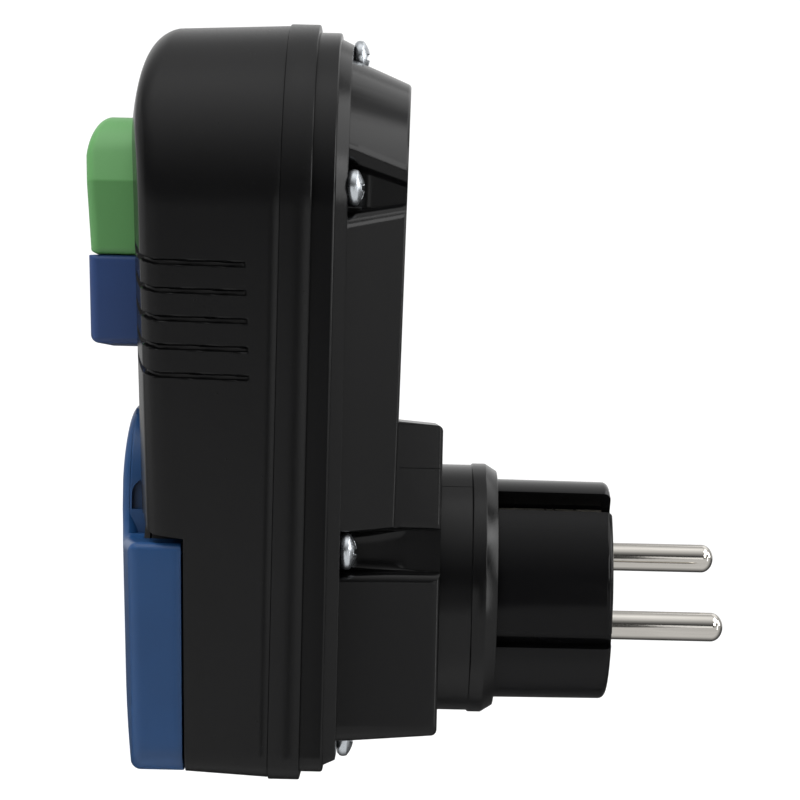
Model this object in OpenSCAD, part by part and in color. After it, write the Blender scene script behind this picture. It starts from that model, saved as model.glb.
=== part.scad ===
// Residual current adapter plug: an arched two-part housing with a mains plug behind,
// a socket outlet under a sprung flap in front, and a reset and a test button above it.
// The origin is the centre between the plug pins, on the face that the pins stand out of.
// +Y runs along the pins, +Z is up, and depths are counted from that face to the front.

/* [Housing] */
// Width across the flange band
housing_w = 66; // [64:0.5:72]
// Crown of the flange band above the plug axis
housing_top = 94.35; // [93:0.05:102]
// Floor of the flange band below the plug axis
housing_bottom = 29.1; // [28.9:0.1:32]
// Round of the two bottom corners
corner_r = 4; // [3:0.5:6]
// Depth of the parting plane of the two shells
parting_depth = 50.1; // [49:0.1:52]
// Depth of the front face, at its centre line and at the height of the reset button
front_depth = 80.95; // [80:0.05:84]
// Lean of the front face
front_lean = 2.9; // [1:0.1:4]
// Flat half width of the front, inside its crowned sides
crown_flat = 3; // [2:0.5:8]
// Radius of the crowned sides of the front
crown_r = 130; // [110:5:200]
// Height at which the front starts to bend back
front_bend_z = 72; // [71:0.5:75]
// Radius of that bend
front_bend_r = 38; // [34:1:60]
// Round of the front edge
front_round = 3; // [2.5:0.1:3.5]
// Draft of the front shell
shell_draft = 2; // [1:0.25:3]
// Wall of the shells
wall = 2.2; // [1.8:0.1:2.6]
// Length of the flange band
band_len = 5; // [4:0.5:7]
// Step of the flange band over the front shell
band_step = 0.3; // [0.2:0.05:0.6]

/* [Rear shell] */
// Step of the rear rim inside the flange band
rim_inset = 1.3; // [0.8:0.1:1.5]
// Depth of the plane that the housing screws sit on
seat_depth = 44.5; // [43.5:0.5:45.5]
// Chamfer of the rear rim
rim_chamfer = 2; // [1.4:0.1:2.2]
// Radius of the dome at the screw plane
dome_r = 27.35; // [26.8:0.05:28]
// Lean of the dome's sides
dome_lean = 23.7; // [20:0.1:26]
// Depth of the dome's back at the arch centre
dome_depth = 35.1; // [34:0.1:37]
// Lean of the dome's back
dome_back_lean = 0.9; // [0:0.1:1.5]
// Round of the dome's back edge
dome_round = 0.8; // [0.6:0.2:2.4]
// Share of their height that the screw channels beside the dome keep at the dome's back
channel_narrowing = 0.8; // [0.7:0.05:1]
// Half width of the plug block at the screw plane
block_half_w = 24.4; // [24:0.1:25]
// Top of the plug block above the plug axis
block_top = 28.1; // [26:0.1:32]
// Bottom of the plug block below the plug axis
block_bottom = 23.9; // [23.4:0.1:24.4]
// Depth of the plug block's back
block_depth = 28.4; // [27.5:0.1:29]
// Draft of the plug block
block_draft = 4.7; // [2:0.1:5]
// Round of the plug block's upper corners
block_round = 7; // [5:0.5:9]
// Radius of the neck that carries the plug collar
neck_r = 20.7; // [20.2:0.1:21]

/* [Plug] */
// Radius of the plug body
plug_r = 18.4; // [18.2:0.1:18.6]
// Length of the plug body, from its collar to the pin face
plug_len = 18.9; // [17.5:0.1:19.5]
// Radius of the collar
collar_r = 20.95; // [20.7:0.05:21.2]
// Length of the collar
collar_len = 4.3; // [3.5:0.1:5]
// Distance between the pins
pin_pitch = 19; // [18.8:0.1:19.2]
// Diameter of a pin
pin_d = 4.8; // [4:0.1:5]
// Length of a pin
pin_len = 19; // [17:0.5:19.5]
// Turn of the pin line about the plug axis
pin_turn = -33.4; // [-40:0.1:-25]
// Width of an earth groove
earth_groove_w = 5.2; // [4.6:0.1:7]
// Turn of the guide notches about the plug axis
notch_turn = -24; // [-26:0.5:-20]
// Width of a guide notch
notch_w = 2.6; // [2:0.1:3.2]

/* [Buttons] */
// Half width of both buttons
button_half_w = 12.4; // [11:0.1:12.6]
// Top of the reset button above the plug axis
reset_top = 78.2; // [76.5:0.1:78.4]
// Line between the two buttons above the plug axis
button_split = 54.35; // [53:0.05:56]
// Bottom of the test button above the plug axis
test_bottom = 39.7; // [39:0.1:42]
// How far the buttons stand out of the front face
button_proud = 7.6; // [6:0.1:9]
// Round of a button's front edge
button_round = 1.4; // [0.8:0.1:2]
// Travel of a button
button_travel = 3; // [2:0.25:3]
// Gap round a button
button_gap = 0.35; // [0.25:0.05:0.5]

/* [Flap and outlet] */
// Height of the ledge over the flap
ledge_z = 9.2; // [8.6:0.1:10]
// Slope of the ledge over the flap, down to the back
ledge_slope = 4; // [0:0.5:6]
// Depth of the plane behind the flap, at the ledge
outlet_depth = 69.2; // [68.6:0.1:69.8]
// Lean of that plane
outlet_lean = 1.7; // [0.5:0.1:2.5]
// Gap between the flap and the housing behind it
lid_gap = 0.35; // [0.3:0.05:0.6]
// Depth of the flap's front, at its centre line and at the ledge
lid_depth = 81; // [80:0.1:82]
// Half width of the flap
lid_half_w = 31.6; // [31:0.1:32]
// Top of the flap's wide part above the plug axis
lid_top = 8; // [7.4:0.1:8.4]
// Bottom of the flap below the plug axis
lid_bottom = 28.2; // [27.6:0.1:28.4]
// Half width of the flap's tongue
tongue_half_w = 13.5; // [12.5:0.1:14]
// Top of the flap's tongue above the plug axis
tongue_top = 30; // [29:0.5:31]
// Wall of the flap
lid_wall = 1.6; // [1.2:0.1:2]
// Height of the outlet's centre
outlet_z = -4.5; // [-5:0.1:-4]
// Radius of the outlet's recess
recess_r = 19.5; // [19.2:0.1:19.7]
// Depth of the outlet's recess
recess_len = 17.5; // [17:0.1:18]
// Bore of a contact sleeve
sleeve_bore = 4.9; // [4.85:0.05:5.2]

/* [Fits] */
// Gap at a sliding or turning fit
slide_gap = 0.06; // [0.04:0.01:0.1]
// Gap of a pressed or seated piece
seat_gap = 0.02; // [0.01:0.01:0.05]

/* [Hidden] */
$fn = 64;
far = 200;
half_w = housing_w / 2;
arch_z = housing_top - half_w;
face_z = 73;
band_depth = parting_depth + band_len;
draft_in = band_step + (front_depth - band_depth - front_round) * tan(shell_draft);
cavity_half_w = half_w - wall - draft_in + band_step;
cavity_bottom = -housing_bottom + wall + 0.3;
cavity_depth = front_depth - 5;
cavity_side_depth = cavity_depth - 4;
cavity_side_w = 6;
outlet_wall_depth = outlet_depth - wall - 1.1;
shelf_z = 34;

// Housing screws: one at the crown, two beside the dome, two beside the block, two below
screw_r = 1.5;
head_r = 2.9;
head_h = 2.4;
screw_len = 14;
post_r = 2.9;
pocket_r = 5.9;
crown_pocket_r = 4.6;
channel_r = 5.4;
crown_screw = [0, housing_top - 5.15];
upper_screw = [half_w - 5.3, arch_z + 3.65];
lower_screw = [block_half_w + 1.4, 7];
bottom_screw = [15, -block_bottom - 0.3];
screw_places = [
    crown_screw, upper_screw, [-upper_screw.x, upper_screw.y],
    lower_screw, [-lower_screw.x, lower_screw.y],
    bottom_screw, [-bottom_screw.x, bottom_screw.y]
];

// Rubber seal in the rear rim
seal_inset = rim_inset + 0.6;
seal_w = 0.8;
seal_h = 0.8;

// Plug
neck_depth = plug_len + collar_len;
insert_back = block_depth + wall + 2.4;
insert_flange_r = 19.7;
groove_floor_r = 14.4;
strip_t = 0.8;
pin_place = [pin_pitch / 2 * cos(pin_turn), pin_pitch / 2 * sin(pin_turn)];
pin_tail_depth = insert_back + 5;
pin_root_r = pin_d / 2 - 0.6;

// Buttons
reset_z = reset_top - button_half_w;
button_seam = 0.25;
button_lean = 2.6;
button_crown_r = 120;
button_bend_z = 5;
button_bend_r = 22;
flange_edge = 1.1;
flange_t = 1.6;
flange_depth = cavity_depth - 0.3;
stem_r = 2.6;
stem_z = [reset_z, (button_split + test_bottom) / 2];
frame_depth = cavity_depth - 6.5;
frame_t = 1.5;

// Flap
tongue_z = tongue_top - tongue_half_w;
flare_r = 4.5;
tongue_bend_z = 12;
tongue_bend_r = 80;
lid_lean = 2.6;
lid_centre_z = 4;
lid_round = 1.5;
plate_depth = lid_depth - 1.5;
tongue_step = 1.8;
slot_gap = 0.8;
slot_over = 2.2;
slot_round = 9;
slot_depth = 70.5;
hinge_depth = 76.8;
hinge_z = tongue_top - 3;
hinge_pin_r = 1;
knuckle_r = 2;
knuckle_x = [2.6, 6.6];

// Outlet
collar_depth = lid_depth - 5.5;
cup_wall = 1.5;
cup_floor_t = 1.8;
cup_floor = collar_depth - recess_len;
cup_back = cup_floor - cup_floor_t;
cup_r = recess_r + cup_wall;
ear_x = 25;
sleeve_wall = 1.1;
sleeve_len = 14;
sleeve_r = sleeve_bore / 2 + sleeve_wall;
contact_x = pin_pitch / 2;

// Board and what is on it
board_front = 57;
board_t = 1.6;
board_back = board_front - board_t;
board_z = [36, 82];
board_half_w = 23.5;
board_post = [20.5, 43];
board_post_top = 74;
base_t = 2.8;
base_front = board_front + base_t;
bridge_t = 0.5;
bridge_gap = 0.35;
carrier_back = base_front + button_travel + bridge_t + bridge_gap;
carrier_t = 3.3;
carrier_front = carrier_back + carrier_t;
carrier_half_h = 5.5;
rail_x = 15.5;
rail_r = 1.5;
switch_half_w = rail_x + rail_r + 0.6;
contact_gap_x = 10;
rivet_r = 1.6;
coil_x = -12.5;
coil_z = [42, 52];
coil_r = 4.4;
coil_depth = board_front + coil_r + 1.6;
plunger_r = 1.8;
plunger_travel = 2.5;
ring_z = 47;
ring_r = [6, 10];
ring_len = 7.8;
winding_t = 0.7;
ring_front = board_back - winding_t - 0.4;
ring_depth = [ring_front - ring_len, ring_front];

// Points of an arc in the X and Z directions
function arc(cx, cz, r, a0, a1, n) =
    [for (i = [0:n]) let (a = a0 + (a1 - a0) * i / n) [cx + r * cos(a), cz + r * sin(a)]];

// Round-headed outline of half width hw, drawn in by d, with round bottom corners
function arch_outline(d, hw, top, bottom, r) = let (c = max(r - d, 0.2)) concat(
    arc(0, top - hw, hw - d, 0, 180, 32),
    arc(d + c - hw, bottom + d + c, c, 180, 270, 4),
    arc(hw - d - c, bottom + d + c, c, 270, 360, 4)
);

// Rectangle of half width hw from z0 to z1, drawn in by d, with round corners
function block_outline(d, hw, z0, z1, r_top, r_low) =
    let (t = max(r_top - d, 0.2), b = max(r_low - d, 0.2)) concat(
    arc(hw - d - t, z1 - d - t, t, 0, 90, 6),
    arc(t + d - hw, z1 - d - t, t, 90, 180, 6),
    arc(b + d - hw, z0 + d + b, b, 180, 270, 4),
    arc(hw - d - b, z0 + d + b, b, 270, 360, 4)
);

// Outline of the flap: the wide part, the concave flares and the round tongue
function lid_outline(d) = let (r_low = corner_r - d, r_top = 2.2 - d, f = flare_r + d) concat(
    arc(lid_half_w - 2.2, lid_top - 2.2, r_top, 0, 90, 4),
    arc(tongue_half_w + flare_r, lid_top + flare_r, f, 270, 180, 5),
    arc(0, tongue_z, tongue_half_w - d, 0, 180, 24),
    arc(-tongue_half_w - flare_r, lid_top + flare_r, f, 0, -90, 5),
    arc(2.2 - lid_half_w, lid_top - 2.2, r_top, 90, 180, 4),
    arc(corner_r - lid_half_w, corner_r - lid_bottom, r_low, 180, 270, 4),
    arc(lid_half_w - corner_r, corner_r - lid_bottom, r_low, 270, 360, 4)
);

// Y of the housing's front, of the buttons' fronts and of the flap's front
function crown(q) = pow(max(q - crown_flat, 0), 2) / (2 * crown_r);
function face_y(x, z) = (face_z - z) * tan(front_lean) + crown(abs(x)) - front_depth
    + pow(max(z - front_bend_z, 0), 2) / (2 * front_bend_r);
function button_y(x, z) = (face_z - z) * tan(button_lean) + x * x / (2 * button_crown_r) - front_depth - button_proud
    + pow(max(z - reset_z - button_bend_z, 0), 2) / (2 * button_bend_r);
function lid_y(x, z) = (ledge_z - z) * tan(lid_lean) + crown(abs(x)) - lid_depth
    + pow(max(z - tongue_bend_z, 0), 2) / (2 * tongue_bend_r);

// Y of the plane behind the flap
function outlet_y(z) = (ledge_z - z) * tan(outlet_lean) - outlet_depth;

// Ring of an outline on the plane at a depth
function flat_ring(outline, depth) = [for (p = outline) [p.x, -depth, p.y]];

// Outline shrunk towards a centre height
function shrunk(outline, s, cz) = [for (p = outline) [p.x * s, cz + (p.y - cz) * s]];

// Closed skin over rings that run from the back to the front, with a centre point at each end
module skin(rings, back, front) {
    n = len(rings[0]);
    m = len(rings);
    points = concat([for (ring = rings) each ring], [back, front]);
    sides = [for (j = [0:m - 2], i = [0:n - 1]) let (k = (i + 1) % n)
        each [[j * n + i, (j + 1) * n + i, (j + 1) * n + k], [j * n + i, (j + 1) * n + k, j * n + k]]];
    back_end = [for (i = [0:n - 1]) [m * n, i, (i + 1) % n]];
    front_end = [for (i = [0:n - 1]) [m * n + 1, (m - 1) * n + (i + 1) % n, (m - 1) * n + i]];
    polyhedron(points, concat(sides, back_end, front_end), convexity = 8);
}

module box(low, high) { translate(low) cube(high - low); }
module both_sides() {
    children();
    mirror([1, 0, 0]) children();
}
// Extrusion along Y between two depths, and along X about the middle
module between(deep, shallow) {
    translate([0, -shallow, 0]) rotate([90, 0, 0]) linear_extrude(deep - shallow) children();
}
module across(w) { rotate([90, 0, 90]) linear_extrude(w, center = true) children(); }
module rod(place, deep, shallow, r) { between(deep, shallow) translate(place) circle(r); }
module rod_x(y, z, x0, x1, r) { translate([x0, y, z]) rotate([0, 90, 0]) cylinder(r = r, h = x1 - x0); }
// Flat shape of an arch
module arch_shape(hw, top, bottom) {
    intersection() {
        translate([0, top - hw]) circle(hw);
        translate([-hw, top - hw]) square(2 * hw);
    }
    translate([-hw, bottom]) square([2 * hw, top - hw - bottom]);
}
// Profile of radius and depth, turned over the arch and drawn straight down below it
module arch_body(profile, zc, z_low) {
    right = [for (p = profile) if (p.x > 0) [p.x, -p.y]];
    translate([0, 0, zc]) rotate([90, 0, 0]) rotate_extrude(angle = 180) polygon(profile);
    translate([0, 0, z_low]) linear_extrude(zc - z_low)
        polygon(concat(right, [for (i = [len(right) - 1:-1:0]) [-right[i].x, right[i].y]]));
}
// Chain of square bars between points that differ along one axis at a time
module bar(points, t) {
    for (i = [0:len(points) - 2]) {
        a = points[i];
        b = points[i + 1];
        low = [for (k = [0:2]) min(a[k], b[k]) - t / 2];
        high = [for (k = [0:2]) max(a[k], b[k]) + t / 2];
        box(low, high);
    }
}
// Coil spring along Y from a depth towards the front
module coil(r, wire, turns, len_) {
    steps = turns * 12;
    ring = [for (i = [0:steps]) let (a = 360 * turns * i / steps, y = -len_ * i / steps)
        [for (k = [0:5]) let (w = 60 * k, q = r + wire * cos(w))
            [q * cos(a), y + wire * sin(w), q * sin(a)]]];
    n = 6;
    faces = [for (j = [0:steps - 1], i = [0:n - 1]) let (k = (i + 1) % n)
        each [[j * n + i, (j + 1) * n + i, (j + 1) * n + k], [j * n + i, (j + 1) * n + k, j * n + k]]];
    ends = [[for (i = [0:n - 1]) i], [for (i = [n - 1:-1:0]) steps * n + i]];
    polyhedron([for (p = ring) each p], concat(faces, ends), convexity = 8);
}

function housing_outline(d) = arch_outline(d, half_w, housing_top, -housing_bottom, corner_r);
function housing_face_ring(d, back) = [for (p = housing_outline(d)) [p.x, face_y(p.x, p.y) + back, p.y]];

module front_form() {
    mid_z = (housing_top - housing_bottom) / 2;
    rim = housing_outline(draft_in + front_round);
    fillet = [for (k = [0:6]) let (a = 15 * k)
        housing_face_ring(draft_in + front_round * (1 - cos(a)), front_round * (1 - sin(a)))];
    cap = [for (s = [0.8, 0.55, 0.3])
        [for (p = shrunk(rim, s, mid_z)) [p.x, face_y(p.x, p.y), p.y]]];
    skin(
        concat([
            flat_ring(housing_outline(0), parting_depth),
            flat_ring(housing_outline(0), band_depth - band_step),
            flat_ring(housing_outline(band_step), band_depth)
        ], fillet, cap),
        [0, -parting_depth, mid_z], [0, face_y(0, mid_z), mid_z]);
}

grip_count = 5;
grip_top = 52.1;
grip_pitch = 4.46;
grip_end_depth = 60;
grip_r = 0.6;
grip_tilt = 1;
module grip_grooves() {
    wall_x = half_w - band_step - (grip_end_depth - band_depth) * tan(shell_draft);
    both_sides() for (i = [0:grip_count - 1])
        translate([wall_x + grip_r / 4, -grip_end_depth, grip_top - i * grip_pitch])
            rotate([90 - grip_tilt, 0, -shell_draft]) cylinder(r = grip_r, h = front_depth, $fn = 24);
}

// Step for the flap, with a round lower front edge over it
module flap_step() {
    edge = face_y(24, ledge_z);
    ledge_round = 3;
    inner_z = ledge_z - (-outlet_depth - edge) * tan(ledge_slope);
    across(far) {
        polygon([[-far, -far], [outlet_y(-far), -far], [outlet_y(inner_z), inner_z], [edge, ledge_z], [-far, ledge_z]]);
        difference() {
            translate([edge - far, ledge_z - 1]) square([far + ledge_round, 1 + ledge_round]);
            translate([edge + ledge_round, ledge_z + ledge_round]) circle(ledge_round);
        }
    }
}

module slot_shape() {
    polygon(block_outline(0, tongue_half_w + slot_gap, outlet_z, tongue_top + slot_over, slot_round, 1));
}
module button_hole() { arch_shape(button_half_w + button_gap, reset_top + button_gap, test_bottom - button_gap); }

module front_shell() color([0.09, 0.09, 0.095]) {
    difference() {
        union() {
            difference() {
                front_form();
                between(cavity_side_depth, parting_depth - 1)
                    arch_shape(cavity_half_w, arch_z + cavity_half_w, shelf_z);
                between(cavity_depth, parting_depth - 1)
                    arch_shape(cavity_half_w - cavity_side_w, arch_z + cavity_half_w - cavity_side_w, shelf_z);
                between(outlet_wall_depth, parting_depth - 1)
                    translate([-cavity_half_w, cavity_bottom])
                        square([2 * cavity_half_w, shelf_z + 1 - cavity_bottom]);
            }
            for (p = screw_places)
                rod(p, (p.y > shelf_z ? cavity_side_depth : outlet_wall_depth) + 0.5, parting_depth, post_r);
            both_sides() {
                rod(board_post, cavity_depth + 0.5, board_front, 2.2);
                rod([board_post.x, board_post_top], cavity_depth + 0.5, board_front, 2.2);
                rod([ear_x, outlet_z], outlet_wall_depth + 0.5, outlet_wall_depth, 2.8);
            }
        }
        flap_step();
        between(far, slot_depth) slot_shape();
        rod([0, outlet_z], far, outlet_wall_depth - 1, cup_r + 0.15);
        between(far, parting_depth) button_hole();
        grip_grooves();
        rod_x(-hinge_depth, hinge_z, -12.5, 12.5, hinge_pin_r + seat_gap);
        for (p = screw_places) rod(p, seat_depth + screw_len + 1, parting_depth - 1, screw_r + seat_gap);
        both_sides() {
            for (z = [board_post.y, board_post_top])
                rod([board_post.x, z], board_front + 7, board_front - 1, 1.1 + seat_gap);
            rod([ear_x, outlet_z], outlet_wall_depth + 1, outlet_wall_depth - 1, 1.1 + seat_gap);
        }
    }
}

// Sloping side and round back edge of the dome, as radius and depth
dome_in = seat_depth + 2;
function dome_at(depth, inset) = dome_r - inset - (seat_depth - depth) * tan(dome_lean);
function dome_profile() =
    let (bc = dome_depth - 0.5 + dome_round,
         rc = dome_at(bc - dome_round * sin(dome_lean), 0) - dome_round * cos(dome_lean))
    concat(
        [[0, dome_in], [dome_at(dome_in, 0), dome_in]],
        [for (k = [0:5]) let (a = -dome_lean - (90 - dome_lean) * k / 5)
            [rc + dome_round * cos(a), bc + dome_round * sin(a)]],
        [[0, dome_depth - 0.5]]);
function dome_hollow() =
    let (back = dome_depth + wall, front = seat_depth + wall, rim_r = half_w - rim_inset - wall)
    [[0, parting_depth + 1], [rim_r, parting_depth + 1], [rim_r, front],
     [dome_at(front, wall + 1.2), front], [dome_at(back, wall + 1.2), back], [0, back]];

function block_ring(depth, inset) =
    let (d = (seat_depth - depth) * tan(block_draft) + inset)
    flat_ring(block_outline(d, block_half_w, -block_bottom, block_top, block_round, 3), depth);

module plug_block(front, back, inset) {
    skin([block_ring(back, inset), block_ring(front, inset)], [0, -back, 0], [0, -front, 0]);
}

// Channel that leads a screwdriver to the screw beside the dome, narrower towards the back
module dome_channel() {
    hull()
        for (end = [[seat_depth, 1], [dome_depth - 1, channel_narrowing]])
            translate([upper_screw.x, -end[0], upper_screw.y]) scale([1, 1, end[1]]) rotate([-90, 0, 0])
                cylinder(r = pocket_r, h = 0.01);
}

module rear_shell() color([0.085, 0.085, 0.09]) difference() {
    union() {
        skin([
            flat_ring(housing_outline(rim_inset + rim_chamfer), seat_depth),
            flat_ring(housing_outline(rim_inset), seat_depth + rim_chamfer),
            flat_ring(housing_outline(rim_inset), parting_depth)
        ], [0, -seat_depth, 30], [0, -parting_depth, 30]);
        difference() {
            arch_body(dome_profile(), arch_z, lower_screw.y);
            translate([0, -dome_depth, arch_z]) rotate([-dome_back_lean, 0, 0]) box([-far, 0, -far], [far, far, far]);
        }
        plug_block(dome_in, block_depth, 0);
        rod([0, 0], block_depth + 1, neck_depth, neck_r);
    }
    difference() {
        union() {
            arch_body(dome_hollow(), arch_z, -housing_bottom + rim_inset + wall);
            plug_block(parting_depth + 1, block_depth + wall, wall);
        }
        box([-far, -seat_depth - wall, -far], [far, far, -block_bottom + wall]);
        both_sides() {
            box([block_half_w - wall - 0.6, -seat_depth - wall, -far], [far, far, lower_screw.y]);
            rod(upper_screw, parting_depth + 1, 0, pocket_r + 1.6);
            rod(lower_screw, parting_depth + 1, 0, channel_r + 1.3);
            rod(bottom_screw, parting_depth + 1, 0, 4.4);
        }
        rod(crown_screw, parting_depth + 1, 0, crown_pocket_r + 1.6);
    }
    rod(crown_screw, seat_depth, 0, crown_pocket_r);
    both_sides() {
        dome_channel();
        rod(lower_screw, seat_depth, 0, channel_r);
        rod(bottom_screw, seat_depth, 0, head_r + 0.5);
    }
    for (p = screw_places) rod(p, parting_depth + 1, seat_depth - 1, screw_r + 0.15);
    rod([0, 0], block_depth + far, 0, plug_r + slide_gap);
    between(parting_depth + 1, parting_depth - seal_h) seal_shape(0);
}

// Flat ring that follows the rim
module seal_shape(gap) {
    difference() {
        polygon(housing_outline(seal_inset + gap));
        polygon(housing_outline(seal_inset + seal_w - gap));
    }
}
module housing_gasket() color([0.16, 0.16, 0.16])
    between(parting_depth, parting_depth - seal_h + seat_gap) seal_shape(seat_gap);

// Pan head screw with a cross recess, its head towards the back
module pan_screw(place, seat, r, head, head_height, length) {
    cross_w = r * 0.5;
    difference() {
        union() {
            rod(place, seat + length, seat - 0.2, r);
            translate([place.x, -seat, place.y]) rotate([-90, 0, 0]) rotate_extrude() intersection() {
                square([head, head_height]);
                translate([0, head_height - head * 1.6]) circle(head * 1.6);
            }
        }
        for (turn = [0, 90]) translate([place.x, -seat + head_height, place.y]) rotate([0, turn, 0])
            box([-head * 0.55, -head_height * 0.6, -cross_w / 2], [head * 0.55, 1, cross_w / 2]);
    }
}
module housing_screws() color([0.78, 0.8, 0.83])
    for (p = screw_places) pan_screw(p, seat_depth, screw_r, head_r, head_h, screw_len);

module plug_collar() color([0.08, 0.08, 0.085]) rotate([90, 0, 0]) rotate_extrude() polygon([
    [plug_r + slide_gap, neck_depth], [collar_r, neck_depth], [collar_r, plug_len + 2],
    [collar_r - 1.5, plug_len], [plug_r + slide_gap, plug_len]
]);

module plug_insert() color([0.05, 0.05, 0.055]) {
    edge = 1.1;
    tip_r = plug_r - 0.15;
    difference() {
        union() {
            rotate([90, 0, 0]) rotate_extrude() polygon(concat(
                [[0, 0]],
                [for (k = [0:4]) let (a = 90 - 22.5 * k) [tip_r - edge + edge * cos(a), edge - edge * sin(a)]],
                [[plug_r, plug_len], [plug_r, insert_back], [0, insert_back]]));
            rod([0, 0], insert_back, block_depth + wall, insert_flange_r);
        }
        for (turn = [pin_turn + 90, pin_turn - 90]) rotate([0, -turn, 0])
            box([groove_floor_r, -far, -earth_groove_w / 2], [far, far, earth_groove_w / 2]);
        for (turn = [notch_turn, notch_turn + 180]) rotate([0, -turn, 0])
            box([plug_r - 2, -plug_len, -notch_w / 2], [far, far, notch_w / 2]);
        for (s = [1, -1]) rod(pin_place * s, far, -1, pin_root_r + seat_gap);
    }
}

module plug_pin(place) {
    round_r = 1.4;
    translate([place.x, 0, place.y]) rotate([-90, 0, 0]) rotate_extrude() {
        translate([0, seat_gap]) square([pin_d / 2, pin_len - round_r - seat_gap]);
        square([pin_d / 2 - round_r, pin_len]);
        translate([0, -pin_tail_depth]) square([pin_root_r, pin_tail_depth + 1]);
        intersection() {
            translate([pin_d / 2 - round_r, pin_len - round_r]) circle(round_r);
            translate([0, pin_len - round_r]) square(pin_d);
        }
    }
}
module plug_pin_upper() color([0.76, 0.74, 0.7]) plug_pin(-pin_place);
module plug_pin_lower() color([0.76, 0.74, 0.7]) plug_pin(pin_place);

// Stirrup: a strip in each earth groove and a yoke behind the plug body
module plug_earth_strips() color([0.72, 0.7, 0.62]) rotate([0, -pin_turn - 90, 0]) {
    w = earth_groove_w - 1.2;
    yoke = insert_back + seat_gap;
    for (s = [0, 180]) rotate([0, s, 0]) {
        box([groove_floor_r + seat_gap, -yoke - strip_t, -w / 2], [groove_floor_r + strip_t, -1.5, w / 2]);
        box([0, -yoke - strip_t, -w / 2], [groove_floor_r + strip_t, -yoke, w / 2]);
    }
}

// Push button: an outline carried from its flange to the leaning crowned front
module button_form(outline, mid_z) {
    function ring(d, back) = [for (p = outline(d)) [p.x, button_y(p.x, p.y) + back, p.y]];
    fillet = [for (k = [0:4]) let (a = 22.5 * k)
        ring(button_round * (1 - cos(a)), button_round * (1 - sin(a)))];
    cap = [for (s = [0.65, 0.3])
        [for (p = shrunk(outline(button_round), s, mid_z)) [p.x, button_y(p.x, p.y), p.y]]];
    skin(concat([flat_ring(outline(0), flange_depth - flange_t + 0.5)], fillet, cap),
        [0, -flange_depth + flange_t - 0.5, mid_z], [0, button_y(0, mid_z), mid_z]);
}
reset_outline = function(d) arch_outline(d, button_half_w, reset_top, button_split + button_seam / 2, 1);
test_outline = function(d)
    block_outline(d, button_half_w, test_bottom, button_split - button_seam / 2 + 0.7 * d, 1, 1);

module button_stem(z, end_depth) { rod([0, z], flange_depth - 0.5, end_depth, stem_r); }

module reset_button() color([0.3, 0.62, 0.33]) {
    button_form(reset_outline, reset_z);
    between(flange_depth, flange_depth - flange_t)
        arch_shape(button_half_w + flange_edge, reset_top + flange_edge, button_split + button_seam / 2);
    button_stem(stem_z[0], carrier_front + 0.3);
}
module test_button() color([0.14, 0.2, 0.38]) {
    button_form(test_outline, (button_split + test_bottom) / 2);
    between(flange_depth, flange_depth - flange_t)
        translate([-button_half_w - flange_edge, test_bottom - flange_edge]) square([
            2 * (button_half_w + flange_edge), button_split - button_seam / 2 - test_bottom + flange_edge]);
    button_stem(stem_z[1], frame_depth - frame_t - 1);
}

// Frame that guides the stems and carries the button springs, on four pillars
module button_frame() color([0.13, 0.13, 0.14]) {
    x_out = 18;
    low = test_bottom - 1;
    high = reset_z + 6;
    pillar = 3;
    difference() {
        union() {
            box([-x_out, -frame_depth, low], [x_out, frame_t - frame_depth, high]);
            both_sides() for (z = [low, high - pillar])
                box([x_out - pillar, -cavity_depth, z], [x_out, frame_t - frame_depth, z + pillar]);
        }
        for (z = stem_z) rod([0, z], far, 0, stem_r + slide_gap);
    }
}

spring_wire = 0.4;
module button_spring(z) {
    r = stem_r + 1.4;
    turns = 4;
    free = flange_depth - flange_t - frame_depth - 2 * spring_wire - 0.2;
    translate([0, -frame_depth - spring_wire - 0.1, z]) coil(r, spring_wire, turns, free);
}
module reset_spring() color([0.7, 0.71, 0.72]) button_spring(stem_z[0]);
module test_spring() color([0.7, 0.71, 0.72]) button_spring(stem_z[1]);

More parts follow.
